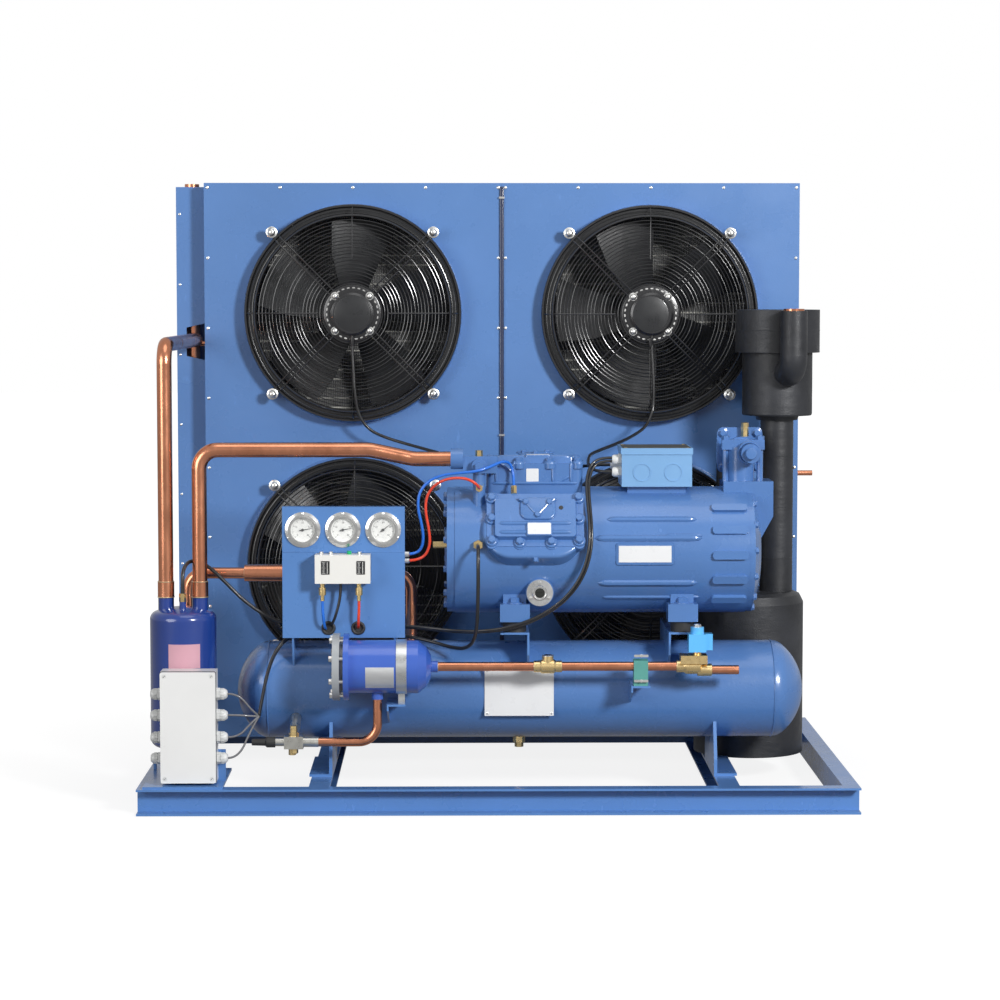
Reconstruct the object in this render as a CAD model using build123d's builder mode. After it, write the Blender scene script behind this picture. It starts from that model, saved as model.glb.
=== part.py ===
"""Air-cooled refrigeration condensing unit with a semi-hermetic compressor and four axial fans.

Millimetres. Origin at the centre of the base's underside, +X to the right, +Y to the rear, +Z up.
"""
from build123d import *
from math import atan2, cos, degrees, hypot, radians, sin, sqrt
import os

os.makedirs("parts", exist_ok=True)

# Clearances
SEAT = 0.3          # a curved piece and the saddle that carries it
RUNNING = 0.05      # radial play of a shaft in its bore

# Base frame
BASE_LENGTH = 1720
BASE_WIDTH = 1100
BASE_HEIGHT = 63
BASE_FLANGE = 40
BASE_WALL = 5
CROSS_RAIL_WIDTH = 50
LEFT_CROSS_X = -428
RIGHT_CROSS_X = 550
ANCHOR_RADIUS = 7
ANCHOR_INSET = 60
PLATE_THICKNESS = 6

# Condenser cabinet
PANEL_FRONT = 235
SHEET = 2
CABINET_LEFT = -760
CABINET_RIGHT = 796
CABINET_MIDDLE = 18
CABINET_TOP = 1520
CABINET_REAR = 545
COIL_FRONT = 400
COIL_REAR = 520
COIL_SKIN = 6
HEADER_RADIUS = 19
HEADER_X = -800
HEADER_Y = 335
COVER_LEFT = -838
COVER_FRONT = 288
COVER_TOP = CABINET_TOP - 9

# Fans
FAN_OFFSET = 389
FAN_HIGH = 1179
FAN_LOW = 522
THROAT_RADIUS = 256
COLLAR_RADIUS = 281
COLLAR_DRAFT = 5
COLLAR_FRONT = 206
GUARD_RADIUS = 279
GUARD_WIRE = 6
GUARD_FRONT = 166
GUARD_BACK = 200
FAN_BOLT_SPACING = 420
HUB_BOLT_SPACING = 90
HUB_RADIUS = 76
MOTOR_RADIUS = 56
BLADE_COUNT = 5
BLADE_TIP = 248
BLADE_THICKNESS = 3
ROTOR_RADIUS = 68
ROTOR_FRONT = 246
ROTOR_DEPTH = 64

# Receiver
TANK_Y = -245
TANK_Z = 260
TANK_RADIUS = 119
TANK_WALL = 6
TANK_LEFT = -562
TANK_RIGHT = 674
TANK_DISH = 79
TANK_KNUCKLE = 45

# Compressor
SHAFT_Z = 605
BARREL_RADIUS = 155
CRANKCASE_LEFT = -105
BARREL_LEFT = 215
BARREL_RIGHT = 607
SHAFT_RADIUS = 22
BANK_ANGLE = 60
FOOT_SPREAD = 120
FOOT_XS = (40, 446)
RAIL_TOP = 417
MOUNT_HEIGHT = 26
MOUNT_RADIUS = 28

# Liquid line
LINE_Y = -440
LINE_Z = 341
LINE_RADIUS = 11
DRIER_RADIUS = 64
DRIER_FLANGE_RADIUS = 81

# Suction side
ACCUMULATOR_X = 647
SUCTION_Y = 18
ACCUMULATOR_RADIUS = 139
RISER_X = 716
RISER_RADIUS = 42
FILTER_RADIUS = 89
FILTER_COLLAR_RADIUS = 107
FILTER_BOTTOM = 924
FILTER_TOP = 1192
INLET_RADIUS = 26
INLET_FOAM_RADIUS = 34

# Oil separator and discharge pipes
SEPARATOR_X = -762
SEPARATOR_Y = -370
SEPARATOR_RADIUS = 80
PIPE_RADIUS = 18
CONDENSER_PIPE_X = -803
DISCHARGE_PIPE_X = -721
CONDENSATE_RADIUS = 14

# Gauge panel
GAUGE_PANEL_FRONT = -370
GAUGE_PANEL_LEFT = -522
GAUGE_PANEL_RIGHT = -226
GAUGE_PANEL_BOTTOM = 402
GAUGE_PANEL_TOP = 720
GAUGE_Z = 665
GAUGE_PITCH = 97
GAUGE_FLANGE_RADIUS = 43
GAUGE_BEZEL_RADIUS = 33

# Junction box
JUNCTION_LEFT = -803
JUNCTION_RIGHT = -672
JUNCTION_FRONT = -530
JUNCTION_BACK = -460
JUNCTION_BOTTOM = 75
JUNCTION_TOP = 340

# Derived places
FAN_XS = (CABINET_MIDDLE - 1 - FAN_OFFSET, CABINET_MIDDLE - 1 + FAN_OFFSET)
FAN_CENTRES = [(x, z) for z in (FAN_HIGH, FAN_LOW) for x in FAN_XS]
FOOT_YS = (TANK_Y - FOOT_SPREAD, TANK_Y + FOOT_SPREAD)
FOOT_BOTTOM = RAIL_TOP + MOUNT_HEIGHT
SHAFT_AXIS = Axis((0, TANK_Y, SHAFT_Z), (1, 0, 0))


def box(x, y, z, mode=Mode.ADD):
    """A rectangular block between three pairs of limits."""
    with Locations(((x[0] + x[1]) / 2, (y[0] + y[1]) / 2, (z[0] + z[1]) / 2)):
        Box(x[1] - x[0], y[1] - y[0], z[1] - z[0], mode=mode)


def bar(origin, direction, radius, length, sides=0, mode=Mode.ADD):
    """A round bar, or one with the given number of sides, from origin along direction."""
    bars(Plane(origin=origin, z_dir=direction), [(0, 0)], radius, length, sides, mode)


def bars(plane, places, radius, length, sides=0, mode=Mode.ADD):
    """Equal bars on a plane, one at each place."""
    with BuildSketch(plane) as section:
        with Locations(*places):
            if sides:
                RegularPolygon(radius, sides)
            else:
                Circle(radius)
    extrude(section.sketch, amount=length, mode=mode)


def sheet(plane, outline, thickness, mode=Mode.ADD):
    """A flat plate with a straight-sided outline."""
    with BuildSketch(plane) as section:
        with BuildLine():
            Polyline(*outline, close=True)
        make_face()
    extrude(section.sketch, amount=thickness, mode=mode)


def turned(origin, direction, outline, mode=Mode.ADD):
    """A turned piece from (station, radius) points along its axis."""
    side = (1, 0, 0) if direction[0] == 0 else (0, 1, 0)
    with BuildSketch(Plane(origin=origin, x_dir=direction, z_dir=side)) as section:
        with BuildLine():
            Polyline((outline[0][0], 0), *outline, (outline[-1][0], 0), close=True)
        make_face()
    revolve(section.sketch, axis=Axis(origin, direction), mode=mode)


def pipe(points, radius, bend, sides=0):
    """A round pipe, or one with the given number of sides, along straight runs joined by bends."""
    with BuildLine() as route:
        FilletPolyline(*points, radius=bend)
    with BuildSketch(Plane(origin=route.line @ 0, z_dir=route.line % 0)) as section:
        if sides:
            RegularPolygon(radius, sides)
        else:
            Circle(radius)
    sweep(section.sketch, path=route.line)


def channel(origin, outward, length, height, flange, wall):
    """A channel section: web at the origin, flanges pointing outward."""
    run = Vector(*outward).cross(Vector(0, 0, 1))
    outline = [
        (0, 0), (flange, 0), (flange, wall), (wall, wall),
        (wall, height - wall), (flange, height - wall), (flange, height), (0, height),
    ]
    sheet(Plane(origin=origin, x_dir=outward, z_dir=run), outline, length)


def dished_tank(origin, direction, length, radius, depth, knuckle):
    """A cylinder with a dished head at each end: a crown arc tangent to a knuckle arc."""
    rise = depth - knuckle
    set_back = ((radius - knuckle) ** 2 - rise**2) / (2 * rise)
    crown = depth + set_back
    turn = degrees(atan2(radius - knuckle, set_back))
    side = (1, 0, 0) if direction[0] == 0 else (0, 1, 0)
    with BuildSketch(Plane(origin=origin, x_dir=direction, z_dir=side)) as section:
        with BuildLine():
            CenterArc((length - set_back, 0), crown, 0, turn)
            CenterArc((length, radius - knuckle), knuckle, turn, 90 - turn)
            Line((length, radius), (0, radius))
            CenterArc((0, radius - knuckle), knuckle, 90, 90 - turn)
            CenterArc((set_back, 0), crown, 180 - turn, turn)
            Line((-depth, 0), (length + depth, 0))
        make_face()
    revolve(section.sketch, axis=Axis(origin, direction))


def clear_tank():
    """Cuts the piece in hand back from the receiver's shell."""
    length = TANK_RIGHT - TANK_LEFT
    bar((TANK_LEFT, TANK_Y, TANK_Z), (1, 0, 0), TANK_RADIUS + SEAT, length, mode=Mode.SUBTRACT)


# ---------------------------------------------------------------- base frame

RAIL_INSET = BASE_WIDTH / 2 - BASE_FLANGE
SIDE_INSET = BASE_LENGTH / 2 - BASE_FLANGE

with BuildPart() as base_rails:
    section = (BASE_HEIGHT, BASE_FLANGE, BASE_WALL)
    channel((BASE_LENGTH / 2, -RAIL_INSET, 0), (0, -1, 0), BASE_LENGTH, *section)
    channel((-BASE_LENGTH / 2, RAIL_INSET, 0), (0, 1, 0), BASE_LENGTH, *section)
    channel((-SIDE_INSET, -RAIL_INSET, 0), (-1, 0, 0), 2 * RAIL_INSET, *section)
    channel((SIDE_INSET, RAIL_INSET, 0), (1, 0, 0), 2 * RAIL_INSET, *section)
    anchor_y = BASE_WIDTH / 2 - (BASE_FLANGE - BASE_WALL) / 2
    anchors = [(i * (BASE_LENGTH / 2 - ANCHOR_INSET), j * anchor_y) for i in (-1, 1) for j in (-1, 1)]
    bars(Plane.XY, anchors, ANCHOR_RADIUS, BASE_WALL, mode=Mode.SUBTRACT)
base_rails.part.label = "base_rails"
export_step(base_rails.part, "parts/base_rails.step")

with BuildPart() as cross_rails:
    section = (BASE_HEIGHT, CROSS_RAIL_WIDTH, BASE_WALL)
    left_web = LEFT_CROSS_X - CROSS_RAIL_WIDTH / 2
    right_web = RIGHT_CROSS_X + CROSS_RAIL_WIDTH / 2
    channel((left_web, RAIL_INSET, 0), (1, 0, 0), 2 * RAIL_INSET, *section)
    channel((right_web, -RAIL_INSET, 0), (-1, 0, 0), 2 * RAIL_INSET, *section)
    plate_rear = SEPARATOR_Y + SEPARATOR_RADIUS + 10
    box((-845, -655), (-545, plate_rear), (BASE_HEIGHT, BASE_HEIGHT + PLATE_THICKNESS))
    box((-845, -845 + PLATE_THICKNESS), (-300, plate_rear), (BASE_HEIGHT, BASE_HEIGHT + 30))
    box(
        (JUNCTION_LEFT + 10, JUNCTION_RIGHT + 18),
        (JUNCTION_BACK, JUNCTION_BACK + 3),
        (BASE_HEIGHT + PLATE_THICKNESS, JUNCTION_BOTTOM + 70),
    )
cross_rails.part.label = "base_cross_rails"
export_step(cross_rails.part, "parts/base_cross_rails.step")

# ---------------------------------------------------------------- condenser cabinet


def fan_panel(left, right, centre_x):
    """Half of the front: a sheet with two pressed collars that hold the guards."""
    back = PANEL_FRONT + SHEET
    box((left, right), (PANEL_FRONT, back), (BASE_HEIGHT, CABINET_TOP))
    for height in (FAN_HIGH, FAN_LOW):
        centre = (centre_x, back, height)
        rise = back - COLLAR_FRONT
        turned(centre, (0, -1, 0), [(0, COLLAR_RADIUS + COLLAR_DRAFT), (rise, COLLAR_RADIUS)])
        inner = COLLAR_RADIUS - SHEET
        turned(
            centre,
            (0, -1, 0),
            [(0, inner + COLLAR_DRAFT), (rise - SHEET, inner)],
            mode=Mode.SUBTRACT,
        )
        bar(centre, (0, -1, 0), THROAT_RADIUS, rise, mode=Mode.SUBTRACT)


with BuildPart() as fan_panel_left:
    fan_panel(CABINET_LEFT, CABINET_MIDDLE - 1 - SEAT / 2, FAN_XS[0])
fan_panel_left.part.label = "fan_panel_left"
export_step(fan_panel_left.part, "parts/fan_panel_left.step")

with BuildPart() as fan_panel_right:
    fan_panel(CABINET_MIDDLE - 1 + SEAT / 2, CABINET_RIGHT, FAN_XS[1])
fan_panel_right.part.label = "fan_panel_right"
export_step(fan_panel_right.part, "parts/fan_panel_right.step")

NOTCH_LOW = 1056
NOTCH_HIGH = 1155
NOTCH_LEFT = -813
inside = PANEL_FRONT + SHEET
with BuildPart() as cabinet_sheets:
    depth = (inside, CABINET_REAR)
    height = (BASE_HEIGHT, CABINET_TOP)
    box((CABINET_LEFT, CABINET_LEFT + SHEET), depth, height)
    box((CABINET_RIGHT - SHEET, CABINET_RIGHT), depth, height)
    box((CABINET_LEFT, CABINET_RIGHT), depth, (CABINET_TOP - SHEET, CABINET_TOP))
    box((CABINET_LEFT, CABINET_RIGHT), depth, (BASE_HEIGHT, BASE_HEIGHT + SHEET))
    middle = (CABINET_MIDDLE - 2, CABINET_MIDDLE)
    box(middle, (inside, COIL_FRONT), height)
    for frame_z in (BASE_HEIGHT + SHEET, CABINET_TOP - SHEET - 30):
        box((CABINET_LEFT, CABINET_RIGHT), (COIL_REAR, COIL_REAR + SHEET), (frame_z, frame_z + 30))
    front = Plane(origin=(0, COVER_FRONT, 0), x_dir=(1, 0, 0), z_dir=(0, -1, 0))
    outline = [
        (COVER_LEFT, BASE_HEIGHT), (CABINET_LEFT, BASE_HEIGHT),
        (CABINET_LEFT, NOTCH_LOW), (NOTCH_LEFT, NOTCH_LOW + 12),
        (NOTCH_LEFT, NOTCH_HIGH - 12), (CABINET_LEFT, NOTCH_HIGH),
        (CABINET_LEFT, COVER_TOP), (COVER_LEFT, COVER_TOP),
    ]
    sheet(front, outline, -SHEET)
    box((COVER_LEFT, COVER_LEFT + SHEET), (COVER_FRONT, 440), (BASE_HEIGHT, COVER_TOP))
    bar((HEADER_X, COVER_FRONT, 180), (0, 1, 0), CONDENSATE_RADIUS + 5, SHEET, mode=Mode.SUBTRACT)
cabinet_sheets.part.label = "cabinet_sheets"
export_step(cabinet_sheets.part, "parts/cabinet_sheets.step")

with BuildPart() as condenser_coil:
    ends = (CABINET_LEFT + SHEET, CABINET_RIGHT - SHEET)
    tall = (BASE_HEIGHT + SHEET, CABINET_TOP - SHEET)
    box(ends, (COIL_FRONT, COIL_REAR), tall)
    box(
        (ends[0] + COIL_SKIN, ends[1] - COIL_SKIN),
        (COIL_FRONT + COIL_SKIN, COIL_REAR - COIL_SKIN),
        (tall[0] + COIL_SKIN, tall[1] - COIL_SKIN),
        mode=Mode.SUBTRACT,
    )
condenser_coil.part.label = "condenser_coil"
export_step(condenser_coil.part, "parts/condenser_coil.step")

with BuildPart() as condenser_headers:
    bar((HEADER_X, HEADER_Y, 600), (0, 0, 1), HEADER_RADIUS, CABINET_TOP - 600)
    bar((HEADER_X, HEADER_Y, 120), (0, 0, 1), CONDENSATE_RADIUS, 420)
    for drop in (70, 220, 420, 620, 820):
        bar((HEADER_X, HEADER_Y, CABINET_TOP - drop), (1, 0, 0), 6, CABINET_LEFT - HEADER_X, sides=8)
    for height in (160, 300, 440):
        bar((HEADER_X, HEADER_Y, height), (1, 0, 0), 6, CABINET_LEFT - HEADER_X, sides=8)
    bar((CABINET_RIGHT, 330, 755), (1, 0, 0), 7, 50)
condenser_headers.part.label = "condenser_headers"
export_step(condenser_headers.part, "parts/condenser_headers.step")

# ---------------------------------------------------------------- fans

GUARD_SIDES = 36
HUB_WIRE = 4
ARM_WIDTH = 14
ARM_BEND = GUARD_RADIUS - 20
ARM_END = FAN_BOLT_SPACING / sqrt(2) + 11
FLANGE_FRONT = GUARD_FRONT + HUB_WIRE
MOTOR_CAP = 8
MOTOR_BACK = ROTOR_FRONT - 6
AXLE_RADIUS = 8
AXLE_BORE_DEPTH = 50
ROOT = (ROTOR_RADIUS - 4, 92, 40, 0)
MIDDLE = ((ROTOR_RADIUS + BLADE_TIP) / 2, 150, 28, 10)
TIP = (BLADE_TIP + 16, 190, 19, 34)


def guard_ring(x, z, front, radius, wire):
    """A many-sided ring of square wire about a fan's axis."""
    with BuildSketch(Plane(origin=(x, front + wire, z), x_dir=(1, 0, 0), z_dir=(0, -1, 0))) as ring:
        RegularPolygon(radius, GUARD_SIDES)
        RegularPolygon(radius - wire, GUARD_SIDES, mode=Mode.SUBTRACT)
    extrude(ring.sketch, amount=wire)


def fan_guard(x, z):
    """A fan guard: outer, middle and hub rings carried by four arms with bolted feet."""
    guard_ring(x, z, GUARD_BACK - GUARD_WIRE, GUARD_RADIUS, GUARD_WIRE)
    guard_ring(x, z, GUARD_FRONT + HUB_WIRE, (GUARD_RADIUS + HUB_RADIUS) / 2, GUARD_WIRE)
    guard_ring(x, z, GUARD_FRONT, HUB_RADIUS, HUB_WIRE)
    deep = GUARD_BACK - GUARD_FRONT
    arm = [
        (MOTOR_RADIUS + 1, 0), (ARM_BEND, 0), (ARM_BEND + 14, deep - 3), (ARM_END, deep - 3),
        (ARM_END, deep), (ARM_BEND + 10, deep), (ARM_BEND - 4, HUB_WIRE), (MOTOR_RADIUS + 1, HUB_WIRE),
    ]
    for turn in (45, 135, 225, 315):
        out = Vector(cos(radians(turn)), 0, sin(radians(turn)))
        across = out.cross(Vector(0, 1, 0))
        place = Vector(x, GUARD_FRONT, z) - across * (ARM_WIDTH / 2)
        sheet(Plane(origin=place, x_dir=out, z_dir=across), arm, ARM_WIDTH)
    feet = Plane(origin=(x, PANEL_FRONT, z), x_dir=(1, 0, 0), z_dir=(0, -1, 0))
    half = FAN_BOLT_SPACING / 2
    corners = [(i * half, j * half) for i in (-1, 1) for j in (-1, 1)]
    bars(feet, corners, 8, PANEL_FRONT - GUARD_BACK, sides=8)


def impeller(x, z, start):
    """A five-blade axial impeller: broad twisted blades lofted from root to tip, trimmed round."""
    turned(
        (x, ROTOR_FRONT, z),
        (0, 1, 0),
        [(0, ROTOR_RADIUS - 6), (6, ROTOR_RADIUS), (ROTOR_DEPTH, ROTOR_RADIUS)],
    )
    for blade in range(BLADE_COUNT):
        turn = radians(start + 360 / BLADE_COUNT * blade)
        out = Vector(cos(turn), 0, sin(turn))
        along = Vector(0, 1, 0).cross(out)
        stations = []
        for reach, chord, pitch, lead in (ROOT, MIDDLE, TIP):
            centre = Vector(x, ROTOR_FRONT + ROTOR_DEPTH / 2, z) + out * reach + along * lead
            with BuildSketch(Plane(origin=centre, x_dir=along, z_dir=out)) as section:
                Rectangle(chord, BLADE_THICKNESS, rotation=pitch)
            stations.append(section.sketch)
        loft(stations, ruled=True)
    bar((x, ROTOR_FRONT - 10, z), (0, 1, 0), BLADE_TIP, ROTOR_DEPTH + 20, mode=Mode.INTERSECT)
    bore = AXLE_RADIUS + RUNNING
    bar((x, ROTOR_FRONT, z), (0, 1, 0), bore, AXLE_BORE_DEPTH, mode=Mode.SUBTRACT)


with BuildPart() as fan_guards:
    for fan_x, fan_z in FAN_CENTRES:
        fan_guard(fan_x, fan_z)
fan_guards.part.label = "fan_guards"
export_step(fan_guards.part, "parts/fan_guards.step")

FAN_NAMES = ("upper_left", "upper_right", "lower_left", "lower_right")
for name, start, (fan_x, fan_z) in zip(FAN_NAMES, (18, 40, 5, 60), FAN_CENTRES):
    with BuildPart() as rotor:
        impeller(fan_x, fan_z, start)
    rotor.part.label = "fan_impeller_" + name
    export_step(rotor.part, f"parts/fan_impeller_{name}.step")

with BuildPart() as fan_motors:
    flange = FLANGE_FRONT - GUARD_FRONT + MOTOR_CAP
    for fan_x, fan_z in FAN_CENTRES:
        turned(
            (fan_x, GUARD_FRONT - MOTOR_CAP, fan_z),
            (0, 1, 0),
            [
                (0, MOTOR_RADIUS - 6), (3, MOTOR_RADIUS), (flange, MOTOR_RADIUS),
                (flange, HUB_RADIUS - 4), (flange + 4, HUB_RADIUS - 4), (flange + 4, MOTOR_RADIUS),
                (MOTOR_BACK - GUARD_FRONT + MOTOR_CAP, MOTOR_RADIUS),
            ],
        )
        reach = ROTOR_FRONT + AXLE_BORE_DEPTH - 2 - MOTOR_BACK
        bar((fan_x, MOTOR_BACK, fan_z), (0, 1, 0), AXLE_RADIUS, reach)
fan_motors.part.label = "fan_motors"
export_step(fan_motors.part, "parts/fan_motors.step")

# ---------------------------------------------------------------- receiver

TANK_LENGTH = TANK_RIGHT - TANK_LEFT
TANK_TOP = TANK_Z + TANK_RADIUS
DRAIN_X = 53
CONDENSATE_X = -214
CONDENSATE_Y = -200

with BuildPart() as receiver_shell:
    dished_tank((TANK_LEFT, TANK_Y, TANK_Z), (1, 0, 0), TANK_LENGTH, TANK_RADIUS, TANK_DISH, TANK_KNUCKLE)
    bar((TANK_LEFT, TANK_Y, TANK_Z), (1, 0, 0), TANK_RADIUS - TANK_WALL, TANK_LENGTH, mode=Mode.SUBTRACT)
receiver_shell.part.label = "receiver_shell"
export_step(receiver_shell.part, "parts/receiver_shell.step")

FOOT_PLATE = 8
FOOT_BOLT_Y = 90
with BuildPart() as receiver_feet:
    webs = ((LEFT_CROSS_X + 17, -1), (RIGHT_CROSS_X - 25, 1))
    for web_x, side in webs:
        ground = BASE_HEIGHT
        outline = [
            (-130, ground), (130, ground), (130, ground + 40),
            (88, TANK_Z - 42), (-88, TANK_Z - 42), (-130, ground + 40),
        ]
        plane = Plane(origin=(web_x, TANK_Y, 0), x_dir=(0, 1, 0), z_dir=(1, 0, 0))
        sheet(plane, outline, FOOT_PLATE)
        start = web_x if side < 0 else web_x + FOOT_PLATE
        box(
            sorted((start, start + side * 48)),
            (TANK_Y - 130, TANK_Y + 130),
            (ground, ground + PLATE_THICKNESS),
        )
    clear_tank()
receiver_feet.part.label = "receiver_feet"
export_step(receiver_feet.part, "parts/receiver_feet.step")

VALVE_X = -492
VALVE_Z = 159
VALVE_HALF = 15
STUB_TURN = atan2(TANK_Z - VALVE_Z, TANK_Y - LINE_Y)
with BuildPart() as receiver_valve:
    back = (0, cos(STUB_TURN), sin(STUB_TURN))
    gap = hypot(TANK_Z - VALVE_Z, TANK_Y - LINE_Y) - TANK_RADIUS
    bar((VALVE_X, LINE_Y, VALVE_Z), back, 13, gap + 10)
    clear_tank()
    box(
        (VALVE_X - 23, VALVE_X + 23),
        (LINE_Y - 17, LINE_Y + 17),
        (VALVE_Z - VALVE_HALF, VALVE_Z + VALVE_HALF),
    )
    bar((VALVE_X + 23, LINE_Y, VALVE_Z), (1, 0, 0), 12, 36)
    bar((VALVE_X - 23, LINE_Y, VALVE_Z), (-1, 0, 0), 10, 22)
    turned((VALVE_X - 45, LINE_Y, VALVE_Z), (-1, 0, 0), [(0, 13), (20, 13), (24, 9), (56, 8)])
receiver_valve.part.label = "receiver_valve"
export_step(receiver_valve.part, "parts/receiver_valve.step")

# ---------------------------------------------------------------- compressor rails and mounts

RAIL_SHEET = 5
RAIL_REACH = 150
RAIL_LEFTS = (5, 412)
RAIL_WIDTH = 70
with BuildPart() as compressor_rails:
    for rail_x, web_x in zip(RAIL_LEFTS, (RAIL_LEFTS[0] + RAIL_WIDTH - RAIL_SHEET, RAIL_LEFTS[1])):
        run = (TANK_Y - RAIL_REACH, TANK_Y + RAIL_REACH)
        box((rail_x, rail_x + RAIL_WIDTH), run, (RAIL_TOP - RAIL_SHEET, RAIL_TOP))
        outline = [
            (-RAIL_REACH, RAIL_TOP - RAIL_SHEET), (-RAIL_REACH, RAIL_TOP - 55), (-95, TANK_TOP - 70),
            (95, TANK_TOP - 70), (RAIL_REACH, RAIL_TOP - 55), (RAIL_REACH, RAIL_TOP - RAIL_SHEET),
        ]
        plane = Plane(origin=(web_x, TANK_Y, 0), x_dir=(0, 1, 0), z_dir=(1, 0, 0))
        sheet(plane, outline, RAIL_SHEET)
    clear_tank()
compressor_rails.part.label = "compressor_rails"
export_step(compressor_rails.part, "parts/compressor_rails.step")

MOUNT_PLACES = [(x, y) for x in FOOT_XS for y in FOOT_YS]
with BuildPart() as rubber_mounts:
    bars(Plane.XY.offset(RAIL_TOP), MOUNT_PLACES, MOUNT_RADIUS, MOUNT_HEIGHT)
rubber_mounts.part.label = "rubber_mounts"
export_step(rubber_mounts.part, "parts/rubber_mounts.step")

# ---------------------------------------------------------------- compressor

FOOT_HEIGHT = 43
FOOT_HALF = 36
BANK_WIDTH = 140
BANK_DECK = BARREL_RADIUS + 2
TOP_DECK = 196
HEAD_HEIGHT = 27
HEAD_LEFT = -28
HEAD_RIGHT = 206
HEAD_MIDDLE = (HEAD_LEFT + HEAD_RIGHT) / 2
CRANK_BORE = 95
MOTOR_BORE = 128
BEARING_WALL = 24
COVER_DEPTH = 19
GLASS_X = 100
GLASS_Z = 514
GLASS_FRONT = TANK_Y - BARREL_RADIUS + 8
BOX_BOTTOM = SHAFT_Z + BARREL_RADIUS + 5
CHAMBER_TOP = SHAFT_Z + BARREL_RADIUS + 16


def bank_plane(tilt, distance):
    """A plane square to a cylinder bank, at a distance from the shaft."""
    out = Vector(0, -sin(radians(tilt)), cos(radians(tilt)))
    return Plane(origin=Vector(HEAD_MIDDLE, TANK_Y, SHAFT_Z) + out * distance, x_dir=(1, 0, 0), z_dir=out)


chamber = Plane(origin=(0, TANK_Y - 55, 0), x_dir=(1, 0, 0), z_dir=(0, -1, 0))
with BuildPart() as compressor_housing:
    bar((CRANKCASE_LEFT, TANK_Y, SHAFT_Z), (1, 0, 0), BARREL_RADIUS, BARREL_RIGHT - CRANKCASE_LEFT)
    bank = HEAD_RIGHT - HEAD_LEFT
    for tilt, deck in ((BANK_ANGLE, BANK_DECK), (0, TOP_DECK), (-BANK_ANGLE, BANK_DECK)):
        with BuildSketch(bank_plane(tilt, 60)):
            RectangleRounded(bank, BANK_WIDTH, 14)
        extrude(amount=deck - 60)
    for rib in range(-2, 3):
        angle = 90 - 22 * rib
        out = Vector(0, -sin(radians(angle)), cos(radians(angle)))
        place = Vector(560, TANK_Y, SHAFT_Z) + out * (BARREL_RADIUS - 6)
        with BuildSketch(Plane(origin=place, z_dir=out, x_dir=(1, 0, 0))):
            RectangleRounded(86, 20, 8)
        extrude(amount=15)
    for foot_y in FOOT_YS:
        inner = TANK_Y + (foot_y - TANK_Y) / 2
        for foot_x in FOOT_XS:
            wide = (foot_x - FOOT_HALF, foot_x + FOOT_HALF)
            box(wide, (foot_y - 35, foot_y + 35), (FOOT_BOTTOM, FOOT_BOTTOM + FOOT_HEIGHT))
            box(
                (foot_x - FOOT_HALF + 8, foot_x + FOOT_HALF - 8),
                sorted((foot_y, inner)),
                (FOOT_BOTTOM + 10, SHAFT_Z - 70),
            )
    bar((GLASS_X, GLASS_FRONT, GLASS_Z), (0, 1, 0), 34, 60)
    box((286, 421), (TANK_Y - BARREL_RADIUS - 3, TANK_Y - 120), (584, 632))
    box((316, 458), (TANK_Y - 60, TANK_Y + 60), (SHAFT_Z + 120, BOX_BOTTOM))
    sheet(chamber, [(551, 700), (551, CHAMBER_TOP), (BARREL_RIGHT, CHAMBER_TOP), (BARREL_RIGHT, 700)], -110)
    crank_room = BARREL_LEFT - CRANKCASE_LEFT
    bar((CRANKCASE_LEFT, TANK_Y, SHAFT_Z), (1, 0, 0), CRANK_BORE, crank_room, mode=Mode.SUBTRACT)
    motor_left = BARREL_LEFT + BEARING_WALL
    bar((motor_left, TANK_Y, SHAFT_Z), (1, 0, 0), MOTOR_BORE, BARREL_RIGHT - motor_left, mode=Mode.SUBTRACT)
    bar((BARREL_LEFT, TANK_Y, SHAFT_Z), (1, 0, 0), SHAFT_RADIUS + RUNNING, BEARING_WALL, mode=Mode.SUBTRACT)
compressor_housing.part.label = "compressor_housing"
export_step(compressor_housing.part, "parts/compressor_housing.step")

with BuildPart() as end_covers:
    turned(
        (CRANKCASE_LEFT + 30, TANK_Y, SHAFT_Z),
        (-1, 0, 0),
        [
            (0, 45), (30, 45), (30, BARREL_RADIUS - 2), (30 + COVER_DEPTH, BARREL_RADIUS - 2),
            (30 + COVER_DEPTH, 60), (36 + COVER_DEPTH, 52),
        ],
    )
    journal = SHAFT_RADIUS + RUNNING
    bar((CRANKCASE_LEFT + 30, TANK_Y, SHAFT_Z), (-1, 0, 0), journal, 32, mode=Mode.SUBTRACT)
    turned(
        (BARREL_RIGHT, TANK_Y, SHAFT_Z),
        (1, 0, 0),
        [(0, BARREL_RADIUS - 2), (14, BARREL_RADIUS - 2), (26, 120), (34, 90)],
    )
    outline = [
        (BARREL_RIGHT, CHAMBER_TOP), (673, CHAMBER_TOP), (673, 690), (640, 630), (BARREL_RIGHT, 630),
    ]
    sheet(chamber, outline, -110)
end_covers.part.label = "compressor_end_covers"
export_step(end_covers.part, "parts/compressor_end_covers.step")

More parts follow.
